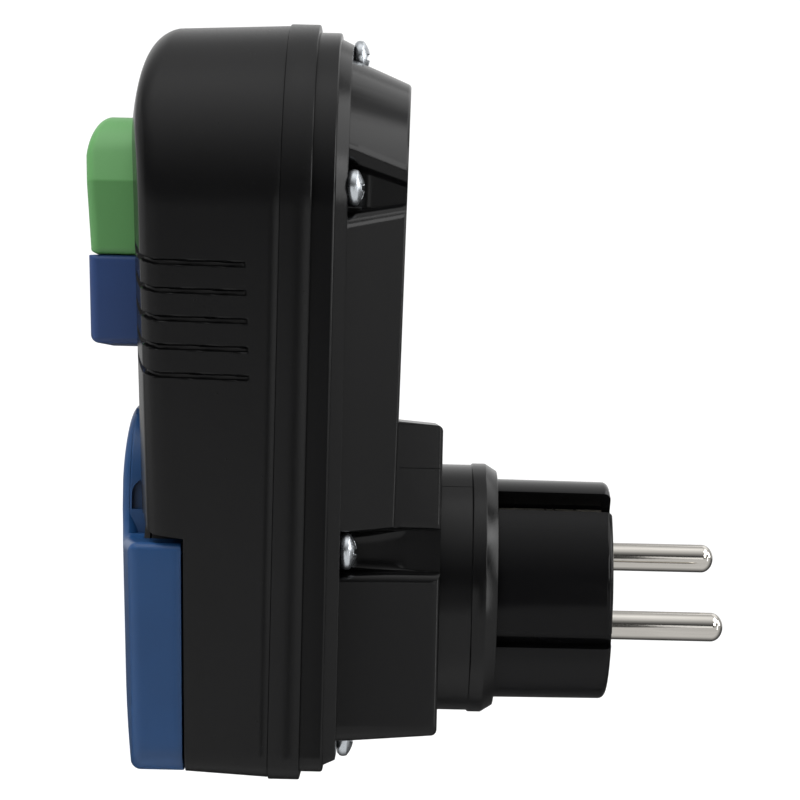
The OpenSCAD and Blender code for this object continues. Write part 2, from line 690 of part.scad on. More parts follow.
// Flap: one crowned skin, hollowed from behind, with a stepped tongue and two hinge knuckles
module lid_form() {
    rim = lid_outline(lid_round);
    fillet = [for (k = [0:4]) let (a = 22.5 * k, d = lid_round * (1 - cos(a)))
        [for (p = lid_outline(d)) [p.x, lid_y(p.x, p.y) + lid_round * (1 - sin(a)), p.y]]];
    cap = [for (s = [0.75, 0.5, 0.25])
        [for (p = shrunk(rim, s, lid_centre_z)) [p.x, lid_y(p.x, p.y), p.y]]];
    back = [for (p = lid_outline(0)) [p.x, outlet_y(p.y) - lid_gap, p.y]];
    skin(concat([back], fillet, cap),
        [0, outlet_y(lid_centre_z) - lid_gap, lid_centre_z], [0, lid_y(0, lid_centre_z), lid_centre_z]);
}
module lid() color([0.1, 0.2, 0.36]) {
    wall_half_w = tongue_half_w - tongue_step;
    inner_depth = collar_depth + 1.2;
    difference() {
        union() {
            difference() {
                lid_form();
                between(plate_depth, 0) difference() {
                    translate([-far, lid_top + 0.6]) square(2 * far);
                    arch_shape(wall_half_w, tongue_top - tongue_step, 0);
                }
                between(slot_depth + 1.5, 0) translate([-far, lid_top + 0.6]) square(2 * far);
                between(inner_depth - 3, 0) translate([lid_wall - lid_half_w, lid_wall - lid_bottom])
                    square([2 * (lid_half_w - lid_wall), lid_top + lid_bottom - 2 * lid_wall]);
                between(plate_depth - 0.4, 0)
                    arch_shape(wall_half_w - lid_wall, tongue_top - tongue_step - lid_wall, 0);
                rod([0, outlet_z], inner_depth, 0, cup_r + 1.3);
                between(hinge_depth + knuckle_r - 0.8, 0) translate([-far, hinge_z - 5]) square(2 * far);
                between(plate_depth - 0.4, 0) translate([-knuckle_x[0], hinge_z - 5]) square([2 * knuckle_x[0], 20]);
            }
            both_sides() {
                rod_x(-hinge_depth, hinge_z, knuckle_x[0], knuckle_x[1], knuckle_r);
                box([knuckle_x[0], -plate_depth, hinge_z - knuckle_r], [knuckle_x[1], -hinge_depth, hinge_z]);
            }
        }
        rod_x(-hinge_depth, hinge_z, -far, far, hinge_pin_r + slide_gap);
    }
}
module lid_gasket() color([0.14, 0.14, 0.15]) difference() {
    rod([0, outlet_z], collar_depth + 1.2, collar_depth + 0.3, cup_r);
    rod([0, outlet_z], far, 0, recess_r - 1);
}
module lid_hinge_pin() color([0.74, 0.75, 0.76]) rod_x(-hinge_depth, hinge_z, -12.2, 12.2, hinge_pin_r);
// Torsion spring between the knuckles, with one leg on the floor of the slot
module lid_spring() color([0.7, 0.71, 0.72]) {
    wire = 0.3;
    r = hinge_pin_r + wire + 0.15;
    x_len = 2 * knuckle_x[0] - 1.6;
    translate([-x_len / 2, -hinge_depth, hinge_z]) rotate([0, 0, 90]) coil(r, wire, 4, x_len);
    translate([x_len / 2, -hinge_depth + r, hinge_z]) rotate([-90, 0, 0])
        cylinder(r = wire, h = hinge_depth - slot_depth - r - 0.05, $fn = 16);
}

module socket_cup() color([0.1, 0.1, 0.11]) difference() {
    union() {
        rod([0, outlet_z], collar_depth, cup_back, cup_r);
        both_sides() box([cup_r - 3, -outlet_wall_depth, outlet_z - 4.5],
            [ear_x + 3.4, -outlet_wall_depth + 1.8, outlet_z + 4.5]);
    }
    difference() {
        rod([0, outlet_z], far, cup_floor, recess_r);
        both_sides() box([recess_r - 1.6, -collar_depth + 2, outlet_z - 1.2], [far, 0, outlet_z + 1.2]);
    }
    both_sides() {
        rod([contact_x, outlet_z], far, 0, 3);
        rod([ear_x, outlet_z], far, 0, 1.3);
    }
    for (s = [1, -1]) translate([0, 0, outlet_z + s * (recess_r - 1.5)])
        box([-3.6, -cup_floor - 0.1, -1.7], [3.6, 0, 1.7]);
}
module socket_screws() color([0.78, 0.8, 0.83])
    for (s = [1, -1]) pan_screw([s * ear_x, outlet_z], outlet_wall_depth - 1.8, 1.1, 2, 1.3, 2.6);

// Slotted sleeve with a tail that runs up behind the board
module socket_contact(side) {
    place = [side * contact_x, outlet_z];
    front = cup_back - 0.2;
    difference() {
        union() {
            rod(place, front, front - sleeve_len, sleeve_r);
            box([place.x - 1.5, -board_back + seat_gap, place.y],
                [place.x + 1.5, -board_back + 0.8, board_z[0] + 2.5]);
        }
        rod(place, far, 0, sleeve_bore / 2);
        box([place.x - 0.3, -front - 1, place.y - far], [place.x + 0.3, -front + sleeve_len - 3, place.y]);
    }
}
module socket_contact_left() color([0.8, 0.62, 0.3]) socket_contact(-1);
module socket_contact_right() color([0.8, 0.62, 0.3]) socket_contact(1);

// Earth stirrup: two spring arms that come through the floor of the recess, and a yoke behind it
clip_r = recess_r - 1.2;
clip_t = 0.8;
module socket_earth_clips() color([0.72, 0.7, 0.62]) translate([0, 0, outlet_z]) {
    yoke = cup_back - 0.1;
    for (s = [0, 180]) rotate([0, s, 0]) {
        box([-3, -cup_floor - 9, clip_r - clip_t], [3, -yoke + clip_t, clip_r]);
        box([-3, -yoke, 0], [3, -yoke + clip_t, clip_r]);
        box([-3, -cup_floor - 9, clip_r - clip_t - 0.8], [3, -cup_floor - 7.5, clip_r]);
    }
}

module circuit_board() color([0.1, 0.32, 0.16]) difference() {
    between(board_front, board_back) difference() {
        translate([-board_half_w, board_z[0]]) square([2 * board_half_w, board_z[1] - board_z[0]]);
        for (s = [0, 1]) mirror([s, 0]) translate([board_half_w, board_z[1]]) rotate(45) square(14, center = true);
    }
    both_sides() for (z = [board_post.y, board_post_top]) rod([board_post.x, z], far, 0, 1.3);
    both_sides() rod([contact_gap_x, reset_z], far, 0, rivet_r + seat_gap);
}
module board_screws() color([0.78, 0.8, 0.83])
    for (s = [1, -1], z = [board_post.y, board_post_top])
        pan_screw([s * board_post.x, z], board_back, 1.1, 2, 1.3, 6);

// Switch: a base with two rails, the sliding carrier and its bridge contacts
module switch_base() color([0.2, 0.2, 0.21]) difference() {
    union() {
        box([-switch_half_w, -base_front, reset_z - carrier_half_h - 2],
            [switch_half_w, -board_front, reset_z + carrier_half_h + 2]);
        both_sides() rod([rail_x, reset_z], carrier_front + 0.6, base_front - 0.5, rail_r);
    }
    both_sides() rod([contact_gap_x, reset_z], far, 0, rivet_r + seat_gap);
}
module contact_carrier() color([0.75, 0.73, 0.66]) difference() {
    box([-switch_half_w, -carrier_front, reset_z - carrier_half_h],
        [switch_half_w, -carrier_back, reset_z + carrier_half_h]);
    both_sides() rod([rail_x, reset_z], far, 0, rail_r + slide_gap);
}
module moving_contacts() color([0.8, 0.55, 0.3]) both_sides() {
    box([contact_gap_x - 1.8, -carrier_back, reset_z - carrier_half_h + 1],
        [contact_gap_x + 1.8, bridge_t - carrier_back, reset_z + carrier_half_h - 1]);
}
module fixed_contacts() color([0.8, 0.78, 0.74])
    both_sides() rod([contact_gap_x, reset_z], base_front, board_back - 0.6, rivet_r);
module carrier_spring() color([0.7, 0.71, 0.72]) translate([0, -base_front - 0.45, reset_z])
    coil(4, 0.35, 3, carrier_back - base_front - 0.9);

module solenoid_frame() color([0.6, 0.61, 0.62]) difference() {
    union() {
        for (z = [coil_z[0] - 1.6, coil_z[1] + 0.1])
            box([coil_x - 4.5, -coil_depth - 4.5, z], [coil_x + 4.5, -board_front, z + 1.5]);
        box([coil_x - 4.5, -board_front - 1, coil_z[0] - 1.6], [coil_x + 4.5, -board_front, coil_z[1] + 1.6]);
    }
    translate([coil_x, -coil_depth, 0]) cylinder(r = plunger_r + slide_gap, h = far);
}
module solenoid_coil() color([0.62, 0.3, 0.14]) translate([coil_x, -coil_depth, coil_z[0]]) difference() {
    cylinder(r = coil_r, h = coil_z[1] - coil_z[0]);
    translate([0, 0, -1]) cylinder(r = plunger_r + slide_gap, h = far);
}
module solenoid_plunger() color([0.7, 0.71, 0.72]) translate([coil_x, -coil_depth, coil_z[0] + 0.3])
    cylinder(r = plunger_r, h = reset_z - carrier_half_h - plunger_travel - 0.5 - coil_z[0] - 0.3);

module transformer_core() color([0.3, 0.3, 0.32]) translate([0, 0, ring_z]) rotate([90, 0, 0])
    rotate_extrude() translate([ring_r[0], ring_depth[0]])
        square([ring_r[1] - ring_r[0], ring_depth[1] - ring_depth[0]]);
module transformer_winding() color([0.7, 0.36, 0.16]) translate([0, 0, ring_z]) rotate([90, 0, 0])
    for (a = [15, 195]) rotate(a) rotate_extrude(angle = 150) difference() {
        translate([ring_r[0] - winding_t, ring_depth[0] - winding_t])
            square([ring_r[1] - ring_r[0] + 2 * winding_t, ring_depth[1] - ring_depth[0] + 2 * winding_t]);
        translate([ring_r[0] - seat_gap, ring_depth[0] - seat_gap])
            square([ring_r[1] - ring_r[0] + 2 * seat_gap, ring_depth[1] - ring_depth[0] + 2 * seat_gap]);
    }

// Conductor from a plug pin up the dome and through the transformer to the board
module phase_bar(side) {
    p = pin_place * side;
    y = -pin_tail_depth - 0.9;
    foot = p.x - 1.75 * side;
    rise = 5.2 * side;
    x = 2 * side;
    bar([[foot, y, p.y], [rise, y, p.y], [rise, y, ring_z - 14], [x, y, ring_z - 14], [x, y, ring_z],
        [x, -board_back + 0.8 + seat_gap, ring_z]], 1.6);
}
module line_bar() color([0.78, 0.5, 0.28]) phase_bar(1);
module neutral_bar() color([0.78, 0.5, 0.28]) phase_bar(-1);
module earth_bar() color([0.76, 0.68, 0.4]) {
    back = insert_back + strip_t + 2 * seat_gap + 0.75;
    front = cup_back - clip_t - 0.1 - seat_gap - 0.75;
    bar([[0, -back, 0], [0, -front, 0], [0, -front, outlet_z]], 1.5);
}

module test_resistor() color([0.55, 0.45, 0.32]) {
    place_z = board_z[0] + 4.5;
    rod_x(-board_front - 2, place_z, 4, 13, 1.7);
    for (x = [3, 14]) translate([x, -board_front - 2, place_z]) rotate([-90, 0, 0])
        cylinder(r = 0.4, h = 2 - seat_gap, $fn = 16);
    rod_x(-board_front - 2, place_z, 2.6, 14.4, 0.4);
}
module varistor() color([0.12, 0.25, 0.5]) {
    place = [ring_r[1] + winding_t + 6.3, ring_z + 8];
    between(board_back - 0.3, board_back - 3.6) translate(place) circle(5);
    for (s = [-2.5, 2.5]) rod([place.x + s, place.y], board_back, board_back - 1, 0.5);
}

front_shell();
rear_shell();
housing_gasket();
housing_screws();
plug_collar();
plug_insert();
plug_pin_upper();
plug_pin_lower();
plug_earth_strips();
reset_button();
test_button();
button_frame();
reset_spring();
test_spring();
lid();
lid_gasket();
lid_hinge_pin();
lid_spring();
socket_cup();
socket_screws();
socket_contact_left();
socket_contact_right();
socket_earth_clips();
circuit_board();
board_screws();
switch_base();
contact_carrier();
moving_contacts();
fixed_contacts();
carrier_spring();
solenoid_frame();
solenoid_coil();
solenoid_plunger();
transformer_core();
transformer_winding();
line_bar();
neutral_bar();
earth_bar();
test_resistor();
varistor();
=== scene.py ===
import math

import bmesh
import bpy
import numpy as np
from mathutils import Matrix, Vector


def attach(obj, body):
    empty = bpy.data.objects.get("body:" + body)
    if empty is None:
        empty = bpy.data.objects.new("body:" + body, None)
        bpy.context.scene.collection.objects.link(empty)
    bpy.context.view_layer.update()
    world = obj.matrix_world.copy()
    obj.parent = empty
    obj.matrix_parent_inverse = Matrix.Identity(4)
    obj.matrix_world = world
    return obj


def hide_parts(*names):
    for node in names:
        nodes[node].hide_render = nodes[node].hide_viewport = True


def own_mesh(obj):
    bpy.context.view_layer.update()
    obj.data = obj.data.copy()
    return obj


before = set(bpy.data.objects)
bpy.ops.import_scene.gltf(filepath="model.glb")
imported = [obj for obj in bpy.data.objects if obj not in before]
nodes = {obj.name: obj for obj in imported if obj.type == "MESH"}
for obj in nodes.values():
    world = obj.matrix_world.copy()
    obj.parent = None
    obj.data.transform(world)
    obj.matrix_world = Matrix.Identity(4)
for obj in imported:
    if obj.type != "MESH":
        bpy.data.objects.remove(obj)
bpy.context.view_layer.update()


# Front shell: the black front half of the housing, moulded in one piece with an arched top.
# A flange band runs round its open back, five finger grooves run round each front edge,
# and a step at the bottom makes room for the flap. Screws from behind pull it to the rear shell.
HALF_W, TOP, BOTTOM, CORNER = 33.0, 94.35, -29.1, 4.0
ARCH_Z = TOP - HALF_W
PARTING, BAND, BAND_STEP = 50.1, 55.1, 0.3
FRONT, FRONT_Z, FRONT_ROUND = 80.95, 73, 3.0
DRAFT_IN = BAND_STEP + (FRONT - BAND - FRONT_ROUND) * math.tan(math.radians(2))
FACE_SLOPE, BEND_Z, BEND_R, FACE_MID = math.tan(math.radians(2.9)), 72, 38, 32.0
CROWN_FLAT, CROWN_R = 3, 130
LEDGE_Z, LEDGE_X, LEDGE_ROUND = 9.2, 24.0, 3
OUTLET, OUTLET_SLOPE, OUTLET_Z, CUP_R = 69.2, math.tan(math.radians(1.7)), -4.5, 21.0
SHARP, LEAST_R = 0.1, 0.05
AHEAD, PAST = -150, 60.0


def arc(cx, cz, r, a0, a1, n):
    """Points of a circle of radius r about (cx, cz), from angle a0 to a1 in degrees."""
    a = np.radians(np.linspace(a0, a1, n))
    return np.stack([cx + r * np.cos(a), cz + r * np.sin(a)], -1)


def arch(d, hw, top, bottom, r, side=None, n=97):
    """Round-headed outline drawn in by d: a half circle, straight sides and round lower corners.
    side gives the heights of extra points on the straight sides, from the arch down."""
    c = max(r - d, LEAST_R)
    side = np.zeros(0) if side is None else side
    left = np.stack([np.full(len(side), d - hw), side], -1)
    return np.concatenate([
        arc(0, top - hw, hw - d, 0, 180, n), left,
        arc(d + c - hw, bottom + d + c, c, 180, 270, 8),
        arc(hw - d - c, bottom + d + c, c, 270, 360, 8), left[::-1] * [-1, 1]])


def crown(x):
    """Sideways crown of the front: flat next to the middle, then a circle, drawn as its parabola."""
    return np.maximum(np.abs(x) - CROWN_FLAT, 0) ** 2 / (2 * CROWN_R)


def face_y(x, z):
    """Front of the housing: a leaning plane with the crown, which bends back near the top."""
    bend = np.maximum(z - BEND_Z, 0) ** 2 / (2 * BEND_R)
    return (FRONT_Z - z) * FACE_SLOPE + crown(x) - FRONT + bend


def outlet_y(z):
    """Leaning plane behind the flap."""
    return (LEDGE_Z - z) * OUTLET_SLOPE - OUTLET


def xyz(outline, y):
    """Ring in space from an outline of X and Z, with one Y for all its points or one for each."""
    return np.stack([outline[:, 0], np.broadcast_to(y, len(outline)), outline[:, 1]], -1)


def shrunk(outline, mid_z, share):
    """Outline drawn together to a share of its size about the middle at mid_z."""
    return np.stack([outline[:, 0] * share, mid_z + (outline[:, 1] - mid_z) * share], -1)


def soften(piece, angle):
    """Smooth shading except over edges sharper than the angle."""
    piece.data.shade_smooth()
    piece.data.set_sharp_from_angle(angle=math.radians(angle))
    return piece


def put(name, points, faces, smooth=30):
    """Mesh object from points in millimetres, smooth except over edges sharper than the angle."""
    mesh = bpy.data.meshes.new(name)
    mesh.from_pydata(np.asarray(points) * 0.001, [], faces)
    form = bmesh.new()
    form.from_mesh(mesh)
    bmesh.ops.remove_doubles(form, verts=form.verts, dist=2e-6)
    bmesh.ops.recalc_face_normals(form, faces=form.faces)
    form.to_mesh(mesh)
    form.free()
    piece = bpy.data.objects.new(name, mesh)
    bpy.context.scene.collection.objects.link(piece)
    return soften(piece, smooth)


def skin(name, rings, smooth=30, flat=False):
    """Closed surface through a stack of rings: quads from ring to ring, and a fan or one flat
    face on each end."""
    rings = np.asarray(rings)
    m, n, _ = rings.shape
    i = np.arange(n)
    k = np.roll(i, -1)
    j = np.arange(m - 1)[:, None] * n
    quads = np.stack([j + i, j + k, j + n + k, j + n + i], -1).reshape(-1, 4)
    points = rings.reshape(-1, 3)
    last = (m - 1) * n
    if flat:
        ends = [i[::-1].tolist(), (last + i).tolist()]
    else:
        points = np.concatenate([points, rings[0].mean(0)[None], rings[-1].mean(0)[None]])
        ends = np.concatenate([np.stack([k, i, np.full(n, m * n)], -1),
                               np.stack([last + i, last + k, np.full(n, m * n + 1)], -1)]).tolist()
    return put(name, points, quads.tolist() + ends, smooth)


def prism(outline, y0, y1):
    """Cutter: an outline of X and Z carried straight along Y, with flat ends."""
    return skin("cutter", [xyz(outline, y0), xyz(outline, y1)], flat=True)


def across(profile, x0, x1):
    """Form of a profile of Y and Z carried along X from x0 to x1, with flat ends."""
    return skin("form", [np.stack([np.full(len(profile), x), *profile.T], -1) for x in (x0, x1)], flat=True)


def cylinder(x, z, r, y0, y1, n=96):
    """Cutter: a round prism about (x, z)."""
    return prism(arc(x, z, r, 0, 360, n + 1)[:-1], y0, y1)


def settle(piece):
    """The piece with its modifiers worked into its mesh."""
    mesh = bpy.data.meshes.new_from_object(piece.evaluated_get(bpy.context.evaluated_depsgraph_get()))
    piece.modifiers.clear()
    piece.data = mesh
    mesh.name = piece.name
    return piece


def even_shading(piece):
    """Normals weighted by face area, so that flat faces look flat up to their round edges."""
    piece.modifiers.new("shading", "WEIGHTED_NORMAL").keep_sharp = True
    return settle(piece)


def work(piece, others, operation="DIFFERENCE", angle=30):
    """The piece with the other forms cut out of it or joined to it."""
    for other in others:
        step = piece.modifiers.new("form", "BOOLEAN")
        step.operation, step.object, step.solver = operation, other, "MANIFOLD"
    settle(piece)
    for other in others:
        bpy.data.objects.remove(other)
    return soften(piece, angle)


GROOVES, GROOVE_PITCH, GROOVE_TOP = 5, 4.46, 52.35
GROOVE_HALF, GROOVE_WALL, GROOVE_DEPTH = 0.46, 0.2, 0.75
GROOVE_BACK, GROOVE_END, GROOVE_IN = 13.4, 17, 10
SIDE_CLIMB, FACE_CLIMB = 0.0175, 0.26


def groove(x, z, u):
    """Depth of the finger grooves: flat channels with sloping walls along five lines a pitch apart,
    fading out at both ends. u runs along a line, from the side (negative) round the front edge
    and over the face, where the lines climb."""
    line = GROOVE_TOP + SIDE_CLIMB * np.minimum(u, 0) + FACE_CLIMB * np.maximum(u - 1, 0)
    off = np.mod(line - z + GROOVE_PITCH / 2, GROOVE_PITCH) - GROOVE_PITCH / 2
    row = np.round((line - z - off) / GROOVE_PITCH)
    along = np.clip((u + GROOVE_BACK) / 0.5, 0, 1) * np.clip((GROOVE_END - u) / 3, 0, 1)
    shape = np.clip((GROOVE_HALF - np.abs(off)) / GROOVE_WALL, 0, 1) * GROOVE_DEPTH
    return shape * np.sqrt(along) * (row >= 0) * (row < GROOVES) * (np.abs(x) > GROOVE_IN)


CLOSE_TOP, CLOSE_LOW = 56.9, 31.6
side_z = np.concatenate([
    np.linspace(ARCH_Z - 0.5, CLOSE_TOP + 0.1, 8), np.linspace(CLOSE_TOP, CLOSE_LOW, 212),
    np.linspace(CLOSE_LOW - 0.6, BOTTOM + CORNER + 0.5, 26)])


def housing_outline(d):
    """Outline of the housing drawn in by d, with close points where the grooves run."""
    return arch(d, HALF_W, TOP, BOTTOM, CORNER, side_z)


def front_rings():
    """Stack of rings: band, drafted side with grooves, round front edge, and the crowned face."""
    band = ((0.3, PARTING), (0.08, PARTING + 0.08), (0, PARTING + 0.3), (0, BAND - 0.25),
            (0.07, BAND - 0.07), (BAND_STEP + 0.05, BAND))
    rings = [xyz(housing_outline(d), -y) for d, y in band]
    start = face_y(*housing_outline(DRAFT_IN).T) + FRONT_ROUND
    reach = -start - BAND - 0.1
    for t in np.concatenate([[0, 0.1], np.linspace(0.22, 0.36, 14), np.linspace(0.42, 1, 12)]):
        ring = xyz(housing_outline(BAND_STEP + (DRAFT_IN - BAND_STEP) * t), -BAND - 0.1 - reach * t)
        ring[:, 0] -= np.sign(ring[:, 0]) * groove(ring[:, 0], ring[:, 2], -reach * (1 - t))
        rings.append(ring)
    for a in np.radians(np.linspace(7.5, 90, 12)):
        o = housing_outline(DRAFT_IN + FRONT_ROUND * (1 - math.cos(a)))
        ring = xyz(o, face_y(*o.T) + FRONT_ROUND * (1 - math.sin(a)))
        cut_in = groove(*o.T, FRONT_ROUND * a)
        ring[:, 0] -= np.sign(o[:, 0]) * cut_in * math.cos(a)
        ring[:, 1] += cut_in * math.sin(a)
        rings.append(ring)
    rim = housing_outline(DRAFT_IN + FRONT_ROUND)
    grooved = np.abs(rim[:, 0]) > HALF_W - 5
    edge_run = FRONT_ROUND * math.pi / 2 + HALF_W - DRAFT_IN - FRONT_ROUND
    for share in np.concatenate([np.linspace(0.98, 0.4, 30), np.linspace(0.3, 0.02, 8)]):
        o = shrunk(rim, FACE_MID, share)
        rings.append(xyz(o, face_y(*o.T) + groove(*o.T, edge_run - np.abs(o[:, 0])) * grooved))
    return rings


def flap_step():
    """Cutter for the step under the ledge, a profile of Y and Z carried across the housing."""
    edge = float(face_y(LEDGE_X, LEDGE_Z))
    inner = LEDGE_Z - (-OUTLET - edge) * math.tan(math.radians(4))
    return across(np.concatenate([
        [[AHEAD, -PAST], [outlet_y(-PAST), -PAST], [outlet_y(inner), inner]],
        arc(edge + LEDGE_ROUND, LEDGE_Z + LEDGE_ROUND, LEDGE_ROUND, 270, 180, 14),
        [[AHEAD, LEDGE_Z + LEDGE_ROUND]]]), -PAST, PAST)


def block_outline(d, hw, z0, z1, top_r, low_r):
    """Rectangle drawn in by d, with round corners."""
    t, b = max(top_r - d, LEAST_R), max(low_r - d, LEAST_R)
    return np.concatenate([
        arc(hw - d - t, z1 - d - t, t, 0, 90, 14), arc(t + d - hw, z1 - d - t, t, 90, 180, 14),
        arc(b + d - hw, z0 + d + b, b, 180, 270, 10), arc(hw - d - b, z0 + d + b, b, 270, 360, 10)])


SPLIT, TEST_LOW, BUTTON_W, BUTTON_GAP = 54.35, 39.7, 12.4, 0.07
SHOULDER, SHOULDER_Z, SHOULDER_ROUND = 23, 66.5, 1.5
HEAD_Z, HEAD_R = 66.89, 11.26
even = np.linspace(0.03, 0.97, 14)


def reset_outline(d):
    """Outline of the reset button drawn in by d: straight sides, shoulders that slant inwards
    above a soft corner, and a round top."""
    w, r, c = BUTTON_W - d, max(SHOULDER_ROUND - d, LEAST_R), max(1 - d, LEAST_R)
    low = SPLIT + BUTTON_GAP + 0.5 * max(d, 0) + c
    turn = SHOULDER_Z - 0.2 * d - r * math.tan(math.radians(SHOULDER / 2))
    half = np.concatenate([
        arc(w - c, low, c, 270, 360, 8), np.stack([np.full(len(even), w), low + (turn - low) * even], -1),
        arc(w - r, turn, r, 0, SHOULDER, 7), arc(0, HEAD_Z, HEAD_R - d, SHOULDER, 90, 30)])
    return np.concatenate([half, half[-2::-1] * [-1, 1]])


WALL, FRONT_WALL, FRONT_STEP, STEP_IN = 2.2, 5, 4, 6
CAVITY, CAVITY_W = FRONT - FRONT_WALL, HALF_W - WALL - DRAFT_IN + BAND_STEP
INNER_W = CAVITY_W - STEP_IN
SHELF_Z, LOW_CAVITY, LOW_CAVITY_Z = 34, 65.9, -26.6
SLOT, SLOT_W, SLOT_TOP, SLOT_R = 70.5, 14.3, 32.2, 9
CUP_BACK, CUP_GAP, BUTTON_CLEAR, HOLES_MEET = 64.9, 0.15, 0.35, 60
test_hole = block_outline(0, BUTTON_W + BUTTON_CLEAR - 0.01, TEST_LOW - BUTTON_CLEAR, HOLES_MEET, SHARP, 0.6)
front_shell = work(skin("front_shell_moulding", front_rings()), [
    prism(arch(0, CAVITY_W, ARCH_Z + CAVITY_W, SHELF_Z, SHARP), -PARTING + 1, -CAVITY + FRONT_STEP),
    prism(arch(0, INNER_W, ARCH_Z + INNER_W, SHELF_Z + 0.01, SHARP), -PARTING + 2, -CAVITY),
    prism(block_outline(0, CAVITY_W, LOW_CAVITY_Z, SHELF_Z + 1, SHARP, SHARP), -PARTING + 1.5, -LOW_CAVITY),
    flap_step(),
    prism(block_outline(0, SLOT_W, OUTLET_Z, SLOT_TOP, SLOT_R, 1), -SLOT, AHEAD),
    cylinder(0, OUTLET_Z, CUP_R + CUP_GAP, -CUP_BACK, AHEAD),
    prism(reset_outline(-BUTTON_CLEAR), -PARTING - 1, AHEAD),
    prism(test_hole, -PARTING - 1.2, AHEAD)])


def feed(tree, node, *values, **named):
    """Sets inputs of a node, in order or by name with _ for a space, to values or to the outputs
    that feed them."""
    sockets = [*node.inputs[:len(values)], *(node.inputs[name.replace("_", " ")] for name in named)]
    for socket, value in zip(sockets, (*values, *named.values())):
        if isinstance(value, bpy.types.NodeSocket):
            tree.links.new(value, socket)
        else:
            socket.default_value = value
    return node


def add(tree, kind, *values, **named):
    """New shader node with its inputs fed."""
    return feed(tree, tree.nodes.new("ShaderNode" + kind), *values, **named)


def ramp(tree, share, *stops, blend="LINEAR"):
    """Colour that a share picks between stops of place and colour."""
    bar = add(tree, "ValToRGB", Fac=share)
    bar.color_ramp.interpolation = blend
    marks = bar.color_ramp.elements
    for mark, (place, colour) in zip(marks, (stops[0], stops[-1])):
        mark.position, mark.color = place, (*colour, 1)
    for place, colour in stops[1:-1]:
        marks.new(place).color = (*colour, 1)
    return bar.outputs["Color"]


def spread(tree, value, **limits):
    """Value carried from one range to another and held inside it."""
    return add(tree, "MapRange", Value=value, **limits).outputs["Result"]


def new_material(name):
    """Material with its node tree, its shader and the place on the piece."""
    material = bpy.data.materials.new(name)
    material.use_nodes = True
    tree = material.node_tree
    return material, tree, tree.nodes["Principled BSDF"], add(tree, "TexCoord").outputs["Object"]


def plastic(name, colour, rough, grain=2600, relief=0.12, level=0.4, drift=0.08):
    """Moulded plastic: an even colour that drifts a little over the piece, satin from a fine
    spark-eroded grain that is a bump and a change of roughness at the same scale."""
    material, tree, shader, place = new_material(name)
    patches = add(tree, "TexNoise", Vector=place, Scale=70, Detail=3).outputs["Fac"]
    deep, pale = ([c * (1 + way * drift) for c in colour] for way in (-1, 1))
    fine = add(tree, "TexNoise", Vector=place, Scale=grain, Detail=2).outputs["Fac"]
    bump = add(tree, "Bump", Strength=relief, Distance=0.0001, Height=fine)
    feed(tree, shader, Base_Color=ramp(tree, patches, (0.3, deep), (0.7, pale)),
         Roughness=spread(tree, fine, To_Min=rough - 0.07, To_Max=rough + 0.07),
         Normal=bump.outputs["Normal"], Specular_IOR_Level=level)
    return material


def dress(piece, material, body, node):
    """Gives a new piece its material and slot, sets it on its body and puts it for its solid."""
    piece.data.materials.clear()
    piece.data.materials.append(material)
    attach(piece, body)
    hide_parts(node)


soot = (0.0035, 0.0035, 0.0037)
dress(front_shell, plastic("satin_black_shell", soot, 0.24, 2400, 0.08, 0.28),
      "housing", "front_shell")


# Rear shell: the black back half, moulded with a finer grain. A leaning dome covers the works,
# a block below it carries the plug, and channels and pockets give the screwdriver its way in.
SEAT, RIM_IN, RIM_DEEP = 44.5, 1.3, 5.6
DOME_R, DOME_BACK, DOME_ROUND, DOME_LOW = 27.35, 35.1, 0.8, 8
LEAN, BACK_SLOPE = math.radians(23.7), math.tan(math.radians(0.9))
BLOCK_W, BLOCK_LOW, BLOCK_BACK, BLOCK_ROUND = 24.4, -23.9, 28.4, 0.9
BLOCK_SPLIT, BLOCK_UP_W, BLOCK_UP_LOW, BLOCK_TOP = 8, 23.65, -20, 28.7
BLOCK_DRAFT = math.tan(math.radians(4.7))
NECK_BACK, NECK_R, PLUG_R = 23.2, 20.7, 18.4
UPPER_Z, LOWER_Z = 65, 7
SCREWS = np.array([[0, 89.2], [27.7, UPPER_Z], [-27.7, UPPER_Z], [25.8, LOWER_Z], [-25.8, LOWER_Z],
                   [15, -24.2], [-15, -24.2]])
POCKETS = (4.6, 5.9, 5.9, 5.4, 5.4, 3.4, 3.4)


def rim_rings():
    """Rim from its screw plane to the parting: a slope of 25 degrees, a small step, a straight side."""
    steps = ((2.2, 0), (1.98, 0.03), (1.86, 0.2), (1.07, 1.9), (0.42, 1.96), (0.2, 2.02),
             (0.06, 2.16), (0, 2.4), (0, RIM_DEEP))
    return [xyz(arch(RIM_IN + d, HALF_W, TOP, BOTTOM, CORNER), -SEAT - y) for d, y in steps]


def dome_rings():
    """Dome: an arch that widens along its slope, with a round back edge and a back that leans
    against the parting plane."""
    yc = DOME_BACK + DOME_ROUND
    slope_in = (SEAT - yc + DOME_ROUND * math.sin(LEAN)) * math.tan(LEAN)
    rc = DOME_R - slope_in - DOME_ROUND * math.cos(LEAN)
    turn = np.linspace(-math.pi / 2, -LEAN, 12)
    r = np.concatenate([[rc * 0.35, rc * 0.7], rc + DOME_ROUND * np.cos(turn), [DOME_R, DOME_R + 0.9]])
    y = np.concatenate([[DOME_BACK, DOME_BACK], yc + DOME_ROUND * np.sin(turn), [SEAT, SEAT + 2]])
    lean = np.clip((SEAT - y) / (SEAT - DOME_BACK), 0, 1) * BACK_SLOPE
    outlines = [arch(0, w, ARCH_Z + w, DOME_LOW, SHARP, n=65) for w in r]
    return [xyz(o, -depth + (o[:, 1] - ARCH_Z) * k) for o, depth, k in zip(outlines, y, lean)]


